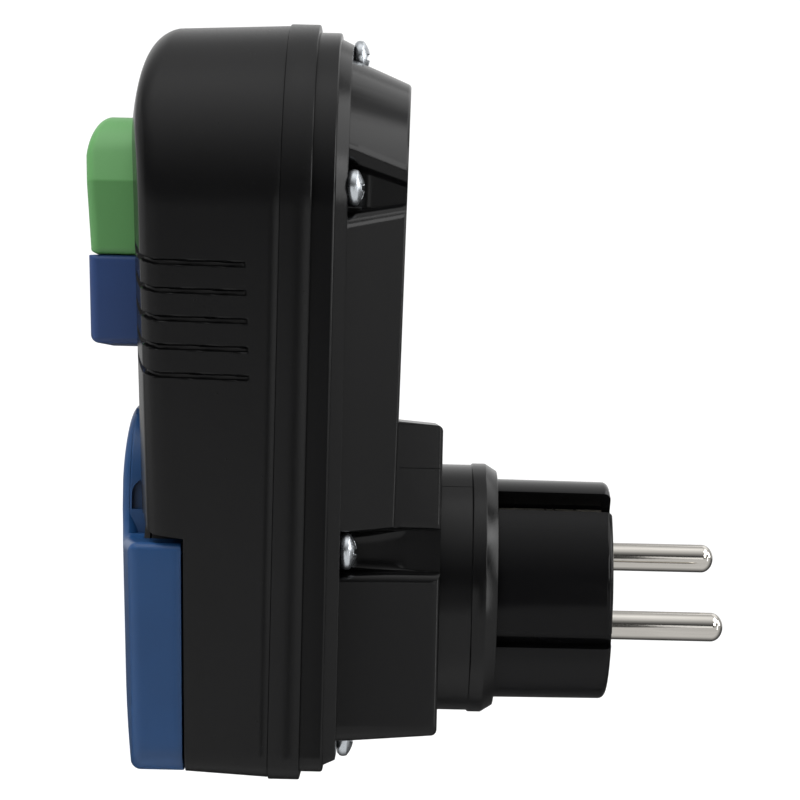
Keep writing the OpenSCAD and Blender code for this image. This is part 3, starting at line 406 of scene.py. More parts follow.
def block_rings(front, back, inset, edge, hw, low, top, top_r):
    """Block of the plug: a round-cornered rectangle with draft and a soft back edge."""
    a = np.radians(np.linspace(90, 0, 7))
    d = np.concatenate([[6 + edge], edge * (1 - np.cos(a)), [0]])
    y = np.concatenate([[back], back + edge * (1 - np.sin(a)), [front]])
    draft = (SEAT - y) * BLOCK_DRAFT + inset
    return [xyz(block_outline(k + e, hw, low, top, top_r, 3), -depth) for k, e, depth in zip(d, draft, y)]


ROOM_W, ROOM_LOW = DOME_R - 3.4, -20
RIM_ROOM_W, RIM_ROOM_LOW = 29.2, -25.2


def hollow_rings():
    """Room inside the dome and the rim: the same arch, a wall thinner, open to the parting plane."""
    dome_end, rim_end = DOME_BACK + 2.4, SEAT + WALL
    profile = ((4, dome_end, ROOM_LOW), (ROOM_W - 7 * math.tan(LEAN), dome_end, ROOM_LOW),
               (ROOM_W, rim_end, ROOM_LOW), (RIM_ROOM_W, rim_end, RIM_ROOM_LOW),
               (RIM_ROOM_W, PARTING + 1, RIM_ROOM_LOW))
    return [xyz(arch(0, w, ARCH_Z + w, low, SHARP, n=49), -y) for w, y, low in profile]


def dome_x(depth, z):
    """Half width of the dome at a depth and height."""
    r = DOME_R - (SEAT - depth) * math.tan(LEAN)
    return np.sqrt(np.maximum(r ** 2 - np.maximum(z - ARCH_Z, 0) ** 2, 1))


def block_x(depth, z):
    """Half width of the block at a depth, and of the dome where that stands out further."""
    upper = z > BLOCK_SPLIT
    side = np.where(upper, BLOCK_UP_W, BLOCK_W) - (SEAT - depth) * BLOCK_DRAFT
    return np.where(upper & (depth > DOME_BACK), np.maximum(side, dome_x(depth, z)), side)


def lip(surface, depth, z, r, side):
    """Round lip of a channel: a quarter circle from its wall at height z to the tangent of the
    surface, and on into the open. side is 1 for the upper lip and -1 for the lower."""
    tilt = np.zeros_like(depth)
    cz = z + side * r
    for _ in range(4):
        tz = cz + r * np.sin(tilt)
        tx = surface(depth, tz)
        slope = (surface(depth, tz + 0.05) - surface(depth, tz - 0.05)) / 0.1
        tilt = np.arctan(-np.clip(slope, -1, 1))
    cx = tx - r * np.cos(tilt)
    a = np.linspace(0, 1, 11)[:, None] * (math.pi / 2 + side * tilt) - math.pi / 2
    x, dz = cx + r * np.cos(a), side * r * np.sin(a)
    way = np.array([[1.3], [4.0], [14.0]])
    out = np.array([[0.45], [4.0], [30.0]])
    x = np.concatenate([x, tx + out * np.cos(tilt) - way * side * np.sin(tilt)])
    height = np.concatenate([cz + dz, tz + out * np.sin(tilt) + way * side * np.cos(tilt)])
    return cx, np.stack([x, height], -1)


SOFT = 0.6


def channel(surface, zc, floor, depth, up, low, up_r, low_r, mirror):
    """Cutter of a screw channel: at each depth a trough between two round lips on the surface, nowhere
    deeper than its floor. Sine and cosine to the power SOFT make its corners soft."""
    top_x, top = lip(surface, depth, zc + up, up_r, 1)
    low_x, foot = lip(surface, depth, zc - low, low_r, -1)
    t = np.radians(np.linspace(0, 90, 13))[1:, None]
    deep = np.minimum(floor, np.minimum(top_x, low_x) - 0.6)
    near, away = np.sin(t) ** SOFT, np.maximum(np.cos(t), 0) ** SOFT
    upper = np.stack([top_x - (top_x - deep) * near, zc + up * away], -1)
    lower = np.stack([low_x - (low_x - deep) * near, zc - low * away], -1)[-2::-1]
    section = np.concatenate([top[::-1], upper, lower, foot])
    section[..., 0] = np.maximum(section[..., 0], floor)
    rings = [xyz(section[:, k] * [mirror, 1], -d) for k, d in enumerate(depth)]
    return skin("cutter", rings, flat=True)


def upper_channel(side):
    """Channel of an upper side screw through the dome, narrowing and deepening towards the back."""
    run = np.linspace(SEAT, 33, 24)
    back = SEAT - run
    floor = np.minimum(21.8, 22.6 - 0.25 * back)
    up, low = np.maximum(3.5 - 0.295 * back, 0.5), 3.45 - 0.19 * back
    return channel(dome_x, UPPER_Z, floor, run, up, low, 3 - 0.05 * back, 3.3 - 0.06 * back, side)


def lower_channel(side):
    """Channel of a lower side screw through dome and block, with an upper lip that grows rounder."""
    run = np.concatenate([np.linspace(SEAT, 36.7, 16), np.linspace(36.2, 28.25, 11)])
    share = np.clip((SEAT - run) / 7.8, 0, 1)
    up, low = 3.1 + 0.2 * share, 3.4 - 0.1 * share
    return channel(block_x, LOWER_Z, 20.8, run, up, low, 0.4 + 1.4 * share, 1.8 + 0 * run, side)


def mould_line(side, x, z, turn, back, front):
    """Cutter: a line 0.12 mm wide that a slide of the mould leaves, from (x, z) outwards along its turn."""
    c, s = math.cos(math.radians(turn)), math.sin(math.radians(turn))
    along = np.array([[0, -0.06], [3, -0.06], [3, 0.06], [0, 0.06]])
    return prism((along @ [[c, s], [-s, c]] + [x, z]) * [side, 1], -back, -front)


BOSS_WALL, SCREW_HOLE_R, PLUG_GAP = 1.6, 1.65, 0.06
BLOCK_ROOM_TOP, BLOCK_ROOM_R = 28.1, 7
BLOCK_LINE_X, BLOCK_LINE_Z, NECK_LINE, LINE_DEEP = 22.2, 20.5, 56.7, 0.12
bosses = [cylinder(*at, r + BOSS_WALL, -PARTING - 2, 0) for at, r in zip(SCREWS, POCKETS)]
block_room = skin("room", block_rings(
    SEAT + 4, BLOCK_BACK + WALL, WALL, 0.3, BLOCK_W, BLOCK_LOW, BLOCK_ROOM_TOP, BLOCK_ROOM_R))
hollow = work(work(skin("hollow", hollow_rings()), [block_room], "UNION"), bosses)
block_run = (SEAT + 2, BLOCK_BACK, 0, BLOCK_ROUND)
rear_shell = work(skin("rear_shell_moulding", rim_rings()), [
    skin("dome", dome_rings()),
    skin("block", block_rings(*block_run, BLOCK_W, BLOCK_LOW, BLOCK_SPLIT, SHARP)),
    skin("upper_block", block_rings(*block_run, BLOCK_UP_W, BLOCK_UP_LOW, BLOCK_TOP, 1.2)),
    cylinder(0, 0, NECK_R, -NECK_BACK, -BLOCK_BACK - 1.5, 160)], "UNION")
work(rear_shell, [hollow, cylinder(0, 0, PLUG_R + PLUG_GAP, 0, -PAST, 160)])
work(rear_shell, [form(side) for form in (upper_channel, lower_channel) for side in (1, -1)])
work(rear_shell, [cylinder(*SCREWS[k], POCKETS[k], 0, -SEAT, 72) for k in (0, 5, 6)])
work(rear_shell, [cylinder(*at, SCREW_HOLE_R, -SEAT + 1, -PAST, 32) for at in SCREWS])
neck_line = arc(0, 0, NECK_R - LINE_DEEP, NECK_LINE, NECK_LINE, 1)[0]
work(rear_shell, [mould_line(side, *line) for side in (1, -1) for line in (
    (BLOCK_LINE_X, BLOCK_LINE_Z, 0, 27, 35.3), (*neck_line, NECK_LINE, 22, 28.3))])
shell_grain = plastic("grained_black_shell", soot, 0.17, 6500, 0.08, 0.28)
dress(even_shading(rear_shell), shell_grain, "housing", "rear_shell")


# Screws: seven zinc plated pan heads with a cross recess, driven from behind into the front shell.
# The head is a flat dome with a rolled edge; the recess is pressed in with sloping walls.
def screw_head(at, seat, r, head, height, length):
    """Polar surface: height over the seat falls with the square of the radius, less a cross whose
    arms are as deep as their distance to the wall allows; the rim turns under to the shank."""
    t = np.radians(np.linspace(0, 360, 97)[:-1])[None]
    rad = np.concatenate([np.linspace(0.02, 0.72, 30), np.linspace(0.75, 0.94, 6)])[:, None] * head
    x, z = np.abs(rad * np.cos(t)), np.abs(rad * np.sin(t))
    arm_w, arm_l = 0.3 * r, 0.62 * head
    arm = np.maximum(np.minimum(arm_w - x, arm_l - z), np.minimum(arm_w - z, arm_l - x))
    top = height * (1 - 0.45 * (rad / head) ** 2) - np.clip((arm + 0.04) * 5, 0, 0.6 * height)
    a = np.linspace(0.25, 1, 6)[:, None] * math.pi / 2
    edge = head * (0.94 + 0.06 * np.sin(a)) + 0 * t
    rim_y = height * 0.6 - (1 - np.cos(a)) * 0.3 * height + 0 * t
    low = np.array([[0.97 * head, 0.45], [0.85 * head, 0.1], [0.8 * head, 0.02], [r, 0.0],
                    [r, -length + 0.6], [0.4 * r, -length]])
    radius = np.concatenate([rad + 0 * t, edge, low[:, :1] + 0 * t])
    y = np.concatenate([top, rim_y, low[:, 1:] + 0 * t]) - seat
    rings = np.stack([at[0] + radius * np.cos(t), y, at[1] + radius * np.sin(t)], -1)
    return skin("screw", rings, 40)


def joined(name, pieces):
    """One object out of several, as the like pieces of a group."""
    form = bmesh.new()
    for piece in pieces:
        form.from_mesh(piece.data)
        bpy.data.objects.remove(piece)
    mesh = bpy.data.meshes.new(name)
    form.to_mesh(mesh)
    form.free()
    whole = bpy.data.objects.new(name, mesh)
    bpy.context.scene.collection.objects.link(whole)
    return soften(whole, 40)


def metal(name, colour, rough, scratch=900, relief=0.05, stretch=(1, 1, 1)):
    """Plated metal: a mirror made dull by fine drawn lines, which change roughness and lean the light."""
    material, tree, shader, place = new_material(name)
    lines = add(tree, "Mapping", Vector=place, Scale=stretch).outputs["Vector"]
    fine = add(tree, "TexNoise", Vector=lines, Scale=scratch, Detail=4).outputs["Fac"]
    bump = add(tree, "Bump", Strength=relief, Distance=0.00005, Height=fine)
    feed(tree, shader, Base_Color=ramp(tree, fine, (0.25, [c * 0.86 for c in colour]), (0.75, colour)),
         Roughness=spread(tree, fine, To_Min=rough * 0.7, To_Max=rough * 1.3),
         Normal=bump.outputs["Normal"], Metallic=1)
    return material


SCREW_R, SCREW_HEAD_R, SCREW_HEAD, SCREW_LONG = 1.5, 2.9, 2.65, 14
zinc = (0.72, 0.76, 0.8)
housing_screws = joined("housing_pan_screws", [
    screw_head(at, SEAT, SCREW_R, SCREW_HEAD_R, SCREW_HEAD, SCREW_LONG) for at in SCREWS])
dress(housing_screws, metal("zinc_plated_steel", zinc, 0.28, 1500), "housing", "housing_screws")


# Plug: a black collar on the neck of the rear shell, and a glossy hard body through it with two
# earth grooves and two guide notches. Two nickel plated pins are pressed into the body.
COLLAR_R, COLLAR_BACK, COLLAR_TURN = 20.95, 18.9, 20.95
PIN_TURN, NOTCH_TURN = -33.4, -24.0
EARTH_HALF, EARTH_FLOOR, NOTCH_HALF, NOTCH_FLOOR = 2.6, 14.4, 1.3, 16.4
FACE_R, FACE_ROUND = 18.25, 1.1
FLANGE_R, FLANGE_BACK, PLUG_DEEP = 19.7, 30.6, 33


def turned(profile, n=160):
    """Rings about the plug axis from a profile of radius and depth."""
    a = np.radians(np.linspace(0, 360, n + 1)[:-1])
    p = np.asarray(profile, float)
    return np.stack([p[:, :1] * np.cos(a), -p[:, 1:] + 0 * a, p[:, :1] * np.sin(a)], -1)


def closed_ring(name, rings, smooth=30):
    """Surface of rings whose last ring joins the first, as a washer's does."""
    m, n, _ = rings.shape
    i, j = np.arange(n), np.arange(m)[:, None] * n
    k, up = np.roll(i, -1), np.roll(j, -1, 0)
    quads = np.stack([j + i, j + k, up + k, up + i], -1).reshape(-1, 4)
    return put(name, rings.reshape(-1, 3), quads.tolist(), smooth)


def collar_profile():
    """Collar from the neck to the plug body: a straight side and a 45 degree slope, softly turned."""
    bore = PLUG_R + PLUG_GAP
    return np.concatenate([
        [[bore, NECK_BACK], [NECK_R, NECK_BACK]], arc(COLLAR_R - 0.3, NECK_BACK - 0.3, 0.3, 90, 0, 5),
        [[COLLAR_R, COLLAR_TURN]], arc(COLLAR_R - 0.25, COLLAR_TURN, 0.25, 0, -45, 5),
        arc(COLLAR_R - 1.4, COLLAR_BACK + 0.3, 0.3, -45, -90, 5), [[bore, COLLAR_BACK]]])


plug_collar = closed_ring("plug_collar_ring", turned(collar_profile()))
dress(plug_collar, shell_grain, "housing", "plug_collar")


def body_outline():
    """Section of the plug body: a circle cut by two flat-floored earth grooves and two notches."""
    cuts = sorted([(PIN_TURN + 90, EARTH_HALF, EARTH_FLOOR), (PIN_TURN + 270, EARTH_HALF, EARTH_FLOOR),
                   (NOTCH_TURN + 180, NOTCH_HALF, NOTCH_FLOOR), (NOTCH_TURN + 360, NOTCH_HALF, NOTCH_FLOOR)])
    edges = [math.degrees(math.asin(half / PLUG_R)) + 0.4 for _, half, _ in cuts]
    ends = [turn - edge for (turn, _, _), edge in zip(cuts, edges)]
    parts = []
    for (turn, half, floor), edge, end in zip(cuts, edges, ends[1:] + [ends[0] + 360]):
        c, s = math.cos(math.radians(turn)), math.sin(math.radians(turn))
        wall = math.sqrt(PLUG_R ** 2 - half ** 2)
        t = np.concatenate([[-half] * 2, np.linspace(-half, half, 7), [half] * 2])
        f = np.array([wall - 0.05, floor + 0.2] + [floor] * 7 + [floor + 0.2, wall - 0.05])
        parts += [np.stack([f * c - t * s, f * s + t * c], -1), arc(0, 0, PLUG_R, turn + edge, end, 48)]
    return np.concatenate(parts)


def body_rings():
    """Body from its pin face to its deep end: the section, held in to the radius of each profile step."""
    section = body_outline()
    r = np.hypot(*section.T)[:, None]
    a = np.radians(np.linspace(90, 0, 10))
    edge = np.stack([FACE_R - FACE_ROUND * (1 - np.cos(a)), FACE_ROUND * (1 - np.sin(a))], -1)
    steps = np.concatenate([edge, [[PLUG_R, y] for y in (COLLAR_BACK, PLUG_DEEP - 2, PLUG_DEEP)]])
    return [xyz(section * np.minimum(1, limit / r), -depth) for limit, depth in steps]


flange = closed_ring("flange", turned([[r, y] for r, y in (
    (PLUG_R - 1.2, PLUG_DEEP), (FLANGE_R, PLUG_DEEP), (FLANGE_R, FLANGE_BACK), (PLUG_R - 1.2, FLANGE_BACK))]))
plug_insert = work(skin("plug_body", body_rings(), 35, flat=True), [flange], "UNION", 35)
plug_gloss = plastic("glossy_black_plug", (0.004, 0.004, 0.0043), 0.12, 700, 0.015, 0.14)
dress(even_shading(plug_insert), plug_gloss, "housing", "plug_insert")

PIN_R, PIN_LONG, PIN_NOSE, PIN_ROOT_R, PIN_ROOT = 2.4, 19, 2, 1.8, 38
PIN_AT = arc(0, 0, 9.5, PIN_TURN, PIN_TURN, 1)[0]


def pin(name, x, z):
    """Pin turned from bar: a slim root in the body, a straight shank, and a quarter ellipse as nose."""
    a = np.radians(np.linspace(88, 0, 16))
    nose = np.stack([PIN_R * np.cos(a), PIN_NOSE - PIN_LONG - PIN_NOSE * np.sin(a)], -1)
    shank = [[PIN_R, -0.2], [PIN_R - 0.15, -0.03], [PIN_ROOT_R, -0.02], [PIN_ROOT_R, PIN_ROOT]]
    return skin(name, turned(np.concatenate([nose, shank]), 64) + [x, 0, z], 40)


pin_nickel = metal("nickel_plated_brass", (0.7, 0.67, 0.62), 0.09, 500, 0.02, (3, 0.15, 3))
for name, side in (("plug_pin_upper", -1), ("plug_pin_lower", 1)):
    dress(pin(name + "_turned", *(PIN_AT * side)), pin_nickel, "housing", name)


# Buttons: a green arched reset button over a dark blue test button, each moulded with a flange
# that stops it behind the front wall and a round stem that runs in the frame below it.
RESET_Z, TEST_Z = 65.8, (SPLIT + TEST_LOW) / 2
RESET_FRONT, RESET_SLOPE, RESET_SLOPE_Z = FRONT + 7.88, 0.0893, 68.9
RESET_BEND_Z, RESET_BEND_R = 68.6, 14.15
TEST_FRONT, TEST_SLOPE = FRONT + 7.84, math.tan(math.radians(2.6))
BUTTON_CROWN_R, BUTTON_ROUND = 120, 1.4
STEM_R, RESET_STEM, TEST_STEM = 2.6, 67.25, 66.95
FLANGE, FLANGE_DEEP, FLANGE_OUT = CAVITY - 0.3, 1.6, 1.1


def reset_y(x, z):
    """Front of the reset button: a leaning plane with a slight crown, bending back at the top."""
    bend = np.maximum(z - RESET_BEND_Z, 0) ** 2 / (2 * RESET_BEND_R)
    return x ** 2 / (2 * BUTTON_CROWN_R) - RESET_FRONT - RESET_SLOPE * (z - RESET_SLOPE_Z) + bend


def test_y(x, z):
    """Front of the test button: a leaning plane with a slight crown."""
    return x ** 2 / (2 * BUTTON_CROWN_R) - TEST_FRONT + (FRONT_Z - z) * TEST_SLOPE


def button_rings(outline, front, flange, mid_z, stem_end):
    """Stem, flange, straight side, round edge and crowned front, all on the outline's own points."""
    o = outline(0)
    way = np.arctan2(o[:, 1] - mid_z, o[:, 0])
    stem = np.stack([STEM_R * np.cos(way), mid_z + STEM_R * np.sin(way)], -1)
    rings = [xyz(stem, -stem_end), xyz(stem, -FLANGE + FLANGE_DEEP), xyz(flange, -FLANGE + FLANGE_DEEP),
             xyz(flange, -FLANGE), xyz(o, -FLANGE)]
    side = front(*o.T) + BUTTON_ROUND
    rings += [xyz(o, -FLANGE + (side + FLANGE) * t) for t in (0.02, 0.35, 0.7, 0.98)]
    for a in np.radians(np.linspace(0, 90, 12)):
        p = outline(BUTTON_ROUND * (1 - math.cos(a)))
        rings.append(xyz(p, front(*p.T) + BUTTON_ROUND * (1 - math.sin(a))))
    for share in (0.95, 0.85, 0.7, 0.5, 0.3, 0.1):
        p = shrunk(outline(BUTTON_ROUND), mid_z, share)
        rings.append(xyz(p, front(*p.T)))
    return rings


def test_outline(d):
    """Rectangle of the test button drawn in by d, with its upper edge kept sharper."""
    return block_outline(d, BUTTON_W, TEST_LOW, SPLIT - BUTTON_GAP + 0.9 * max(d, 0), 1, 1)


test_flange = block_outline(0, BUTTON_W + FLANGE_OUT, TEST_LOW - FLANGE_OUT, SPLIT - BUTTON_GAP, 1, 1)
reset_button = skin("reset_push_button", button_rings(
    reset_outline, reset_y, reset_outline(-FLANGE_OUT), RESET_Z, RESET_STEM))
dress(reset_button, plastic("green_button", (0.078, 0.22, 0.071), 0.38, 2600, 0.05, 0.35, 0.04),
      "reset", "reset_button")
test_button = skin("test_push_button", button_rings(test_outline, test_y, test_flange, TEST_Z, TEST_STEM))
dress(test_button, plastic("navy_button", (0.0145, 0.038, 0.12), 0.38, 2600, 0.05, 0.35, 0.05),
      "test", "test_button")


# Flap: one blue moulding over the outlet, with a round tongue that runs up into a slot of the front
# shell. It is hollow behind, and two knuckles on the tongue turn on a steel pin.
LID_W, LID_TOP, LID_BOTTOM, LID_MID = 31.6, 8.0, -28.2, 4.0
LID_FRONT, LID_SLOPE, LID_ROUND = 81, math.tan(math.radians(2.6)), 1.5
TONGUE_W, TONGUE_TOP, TONGUE_BEND_Z, TONGUE_BEND_R, FLARE = 13.5, 30.0, 12, 80, 4.5
HINGE_Y, HINGE_Z, HINGE_HOLE_R = -76.8, 27.0, 1.06
KNUCKLE_R, KNUCKLE_LOW, KNUCKLE_IN, KNUCKLE_OUT, KNUCKLE_Y = 2, 22, 2.6, 6.6, -78
TONGUE_LOW, TONGUE_ROOM_W, TONGUE_ROOM_TOP, PLATE_Y = 8.6, 10.1, 26.6, -79.1
HOLLOW_W, HOLLOW_LOW, HOLLOW_TOP, HOLLOW_Y, CUP_ROOM_Y = 30, -26.6, 6.4, -73.7, -76.7
WINDOW_LOW, WINDOW_TOP, WINDOW_R, WINDOW_IN = 12.5, 17.5, 2.4, 1.6
WIDE = 100


def lid_outline(d):
    """Outline of the flap drawn in by d: wide part, hollow flares and the round tongue."""
    low, top, f = CORNER - d, max(1.3 - d, LEAST_R), FLARE + d
    half = np.concatenate([
        arc(LID_W - CORNER, LID_BOTTOM + CORNER, low, 270, 360, 12),
        np.stack([np.full(8, LID_W - d), np.linspace(LID_BOTTOM + 6, LID_TOP - 4, 8)], -1),
        arc(LID_W - d - top, LID_TOP - d - top, top, 0, 90, 10),
        np.stack([np.linspace(LID_W - 4, TONGUE_W + FLARE + 2, 5), np.full(5, LID_TOP - d)], -1),
        arc(TONGUE_W + FLARE, LID_TOP + FLARE, f, 270, 180, 14),
        arc(0, TONGUE_TOP - TONGUE_W, TONGUE_W - d, 4, 90, 24)])
    return np.concatenate([half, half[-2::-1] * [-1, 1]])


def lid_y(x, z):
    """Front of the flap: a leaning plane with the housing's crown, and a bent tongue."""
    bend = np.maximum(z - TONGUE_BEND_Z, 0) ** 2 / (2 * TONGUE_BEND_R)
    return (LEDGE_Z - z) * LID_SLOPE + crown(x) - LID_FRONT + bend


def lid_rings():
    """Flap from its back rim to its front: straight sides, a round edge and the crowned front."""
    o = lid_outline(0)
    back = outlet_y(o[:, 1]) - 0.35
    side = lid_y(*o.T) + LID_ROUND
    rings = [xyz(lid_outline(0.25), back), xyz(lid_outline(0.06), back - 0.07), xyz(o, back - 0.25)]
    rings += [xyz(o, back + (side - back) * t) for t in (0.25, 0.5, 0.75, 0.97)]
    for a in np.radians(np.linspace(0, 90, 12)):
        p = lid_outline(LID_ROUND * (1 - math.cos(a)))
        rings.append(xyz(p, lid_y(*p.T) + LID_ROUND * (1 - math.sin(a))))
    for share in (0.97, 0.92, 0.85, 0.75, 0.65, 0.55, 0.45, 0.35, 0.25, 0.15, 0.05):
        p = shrunk(lid_outline(LID_ROUND), LID_MID, share)
        rings.append(xyz(p, lid_y(*p.T)))
    return rings


def box(x0, x1, z0, z1, y1):
    """Cutter: a rectangle carried along Y from the plane of the plug's face forward to y1."""
    return prism(np.array([[x0, z0], [x0, z1], [x1, z1], [x1, z0]], float), 0, y1)


def knuckle(x0, x1):
    """Hinge knuckle: a round ear that runs forward into the front plate."""
    foot = [[PLATE_Y - 0.4, HINGE_Z + KNUCKLE_R], [PLATE_Y - 0.4, HINGE_Z - KNUCKLE_R]]
    return across(np.concatenate([arc(HINGE_Y, HINGE_Z, KNUCKLE_R, -90, 90, 24), foot]), x0, x1)


def tongue_wall():
    """Wall behind the front plate: the tongue's arch with a round front edge where it meets the plate."""
    r, edge_y = 0.3, -79.3
    a = np.radians(np.linspace(0, 90, 10))
    edge = np.stack([r * (1 - np.cos(a)), edge_y - r * np.sin(a)], -1)
    steps = np.concatenate([[[0, -60]], edge, [[r, -80]]])
    return skin("wall", [xyz(arch(d, TONGUE_W, TONGUE_TOP, 0, SHARP), y) for d, y in steps])


def flare_back():
    """Back of the hollow flares: the flap's outline on a quarter round, up to the tongue's wall."""
    r, edge_y = 2.2, -80.1
    a = np.radians(np.linspace(0, 90, 10))
    edge = np.stack([r * (1 - np.cos(a)), edge_y + r * np.sin(a)], -1)
    rings = [xyz(lid_outline(d), y) for d, y in np.concatenate([[[0, -90]], edge])]
    return work(skin("flare", rings), [box(-WIDE, WIDE, WINDOW_LOW, WIDE, -100)])


around = work(box(-WIDE, WIDE, TONGUE_LOW, WIDE, PLATE_Y - 0.5), [tongue_wall(), flare_back()])
window = np.concatenate([
    [[-70, WINDOW_LOW], [-70, WINDOW_TOP]], arc(HINGE_Y, WINDOW_TOP - WINDOW_R, WINDOW_R, 90, 180, 12),
    [[HINGE_Y - WINDOW_R, WINDOW_LOW]]])
lid = work(skin("hinged_flap", lid_rings()), [
    around, box(-WIDE, WIDE, TONGUE_LOW, WIDE + 1, -72),
    box(-HOLLOW_W, HOLLOW_W, HOLLOW_LOW, HOLLOW_TOP, HOLLOW_Y),
    prism(arch(0, TONGUE_ROOM_W, TONGUE_ROOM_TOP, 0, SHARP), 0, PLATE_Y),
    cylinder(0, OUTLET_Z, CUP_R + 1.3, 0, CUP_ROOM_Y),
    box(-WIDE, WIDE, KNUCKLE_LOW, WIDE + 2, KNUCKLE_Y),
    box(-KNUCKLE_IN, KNUCKLE_IN, KNUCKLE_LOW + 0.1, 42, PLATE_Y),
    across(window, TONGUE_W - WINDOW_IN, WIDE), across(window, -WIDE, WINDOW_IN - TONGUE_W)])
work(lid, [knuckle(KNUCKLE_IN, KNUCKLE_OUT), knuckle(-KNUCKLE_OUT, -KNUCKLE_IN)], "UNION")
work(lid, [across(arc(HINGE_Y, HINGE_Z, HINGE_HOLE_R, 0, 360, 33)[:-1], -50, 50)])
dress(lid, plastic("blue_flap", (0.0103, 0.0445, 0.127), 0.34, 2600, 0.05, 0.4, 0.05),
      "flap", "lid")


# Works inside: seals, springs, the outlet's cup and contacts, the board, the trip switch, the
# summation transformer and the copper bars. Most keep their solids and get their own finishes; the
# return springs are wound again.
def finish_nodes(material, *names):
    """Puts a finish on solids that stay as they are."""
    for name in names:
        mesh = nodes[name].data
        mesh.materials.clear()
        mesh.materials.append(material)


def banded(name, stops, low, high, rough):
    """Finish in bands along X: the place between low and high, in metres, picks the colour."""
    material, tree, shader, place = new_material(name)
    along = add(tree, "SeparateXYZ", Vector=place).outputs["X"]
    share = spread(tree, along, From_Min=low, From_Max=high)
    feed(tree, shader, Base_Color=ramp(tree, share, *stops, blend="CONSTANT"), Roughness=rough)
    return material


def repaint(material, tree, colour):
    """The material with another base colour."""
    feed(tree, tree.nodes["Principled BSDF"], Base_Color=colour)
    return material


def wound(name, colour, turns):
    """Enamelled winding: fine wire lines, with painted shade darkening the gaps between turns."""
    material = metal(name, colour, 0.35, 900, 0.03)
    tree = material.node_tree
    wire = add(tree, "TexWave", Vector=add(tree, "TexCoord").outputs["Object"], Scale=turns, Distortion=0.4)
    wire.bands_direction = "Z"
    # painted shade: the gaps between turns are the wire's colour at a quarter of its brightness
    turn_gap_shade = [c * 0.25 for c in colour]
    return repaint(material, tree, ramp(tree, wire.outputs["Fac"], (0, turn_gap_shade), (1, colour)))


def traced_board(name):
    """Board lacquer: green, with paler copper tracks under it in a brick-like net."""
    lacquer = (0.02, 0.13, 0.05)
    material = plastic(name, lacquer, 0.35, 1200, 0.05)
    tree = material.node_tree
    turn = add(tree, "Mapping", Vector=add(tree, "TexCoord").outputs["Object"],
               Rotation=(math.radians(90), 0, 0)).outputs["Vector"]
    net = add(tree, "TexBrick", Vector=turn, Color1=(*lacquer, 1), Color2=(0.025, 0.15, 0.06, 1),
              Mortar=(0.09, 0.26, 0.1, 1), Scale=180, Mortar_Size=0.06)
    return repaint(material, tree, net.outputs["Color"])


SPRING_R = 4


def return_spring(node, z, seat, front, wire, turns):
    """Round wire on a helix along Y, from its seat to the moving piece in front of it."""
    a = np.linspace(0, 2 * math.pi * turns, 28 * turns + 1)[:, None]
    w = np.radians(np.arange(0, 360, 36))[None]
    reach = SPRING_R + wire * np.cos(w)
    y = -seat - 0.1 - wire - (front - seat - 0.1 - 2 * wire) * a / a[-1]
    helix = np.stack([reach * np.cos(a), y + wire * np.sin(w), z + reach * np.sin(a)], -1)
    piece = skin(node + "_wire", helix, 40, flat=True)
    dress(piece, spring_wire, "housing", node)
    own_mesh(piece)


FRAME_BACK, STEM_SEAT, SWITCH_SEAT, CARRIER_BACK = 69.5, 73.9, 59.8, 63.5
finish_nodes(plastic("black_rubber_seal", (0.02, 0.02, 0.02), 0.75, 3000, 0.2, 0.2),
             "housing_gasket", "lid_gasket")
spring_wire = metal("bright_spring_wire", (0.62, 0.63, 0.64), 0.25, 700)
finish_nodes(spring_wire, "lid_spring", "lid_hinge_pin", "solenoid_plunger")
return_spring("reset_spring", RESET_Z, FRAME_BACK, STEM_SEAT, 0.4, 4)
return_spring("test_spring", TEST_Z, FRAME_BACK, STEM_SEAT, 0.4, 4)
return_spring("carrier_spring", RESET_Z, SWITCH_SEAT, CARRIER_BACK, 0.35, 3)
finish_nodes(plastic("black_inner_moulding", (0.014, 0.014, 0.015), 0.4, 2200, 0.1),
             "socket_cup", "button_frame", "switch_base")
finish_nodes(plastic("cream_carrier", (0.62, 0.58, 0.46), 0.45, 2200, 0.08), "contact_carrier")
finish_nodes(metal("zinc_inner_screws", zinc, 0.28, 1500), "socket_screws", "board_screws")
finish_nodes(metal("spring_brass", (0.75, 0.55, 0.25), 0.3, 800),
             "socket_contact_left", "socket_contact_right", "earth_bar")
finish_nodes(metal("tinned_earth_strip", (0.66, 0.63, 0.55), 0.3, 800),
             "plug_earth_strips", "socket_earth_clips", "fixed_contacts")
finish_nodes(metal("bare_copper_bar", (0.75, 0.42, 0.24), 0.32, 800),
             "line_bar", "neutral_bar", "moving_contacts")
finish_nodes(wound("enamelled_coil", (0.6, 0.25, 0.1), 1400), "solenoid_coil")
finish_nodes(wound("ring_winding", (0.7, 0.34, 0.14), 700), "transformer_winding")
finish_nodes(plastic("grey_ferrite", (0.06, 0.06, 0.065), 0.6, 1500, 0.2), "transformer_core")
finish_nodes(metal("steel_magnet_frame", (0.5, 0.51, 0.52), 0.38, 900), "solenoid_frame")
finish_nodes(traced_board("green_circuit_board"), "circuit_board")
tan, brown, black, gold = (0.5, 0.36, 0.22), (0.1, 0.03, 0.015), (0.02, 0.02, 0.02), (0.55, 0.36, 0.08)
bands = ((0, tan), (0.2, brown), (0.3, tan), (0.42, black), (0.52, tan), (0.7, gold), (0.8, tan))
finish_nodes(banded("banded_resistor", bands, 0.0026, 0.0144, 0.4), "test_resistor")
finish_nodes(plastic("blue_varistor", (0.02, 0.07, 0.25), 0.3, 600, 0.1), "varistor")


# Studio: a pale sweep under and behind the part, a graded room for the gloss to mirror, and soft boxes
# that light the part, are mirrored in it, or both. The camera stands square to the part's side.
SWEEP_HALF, WHITE = 2500, (1, 1, 1, 1)


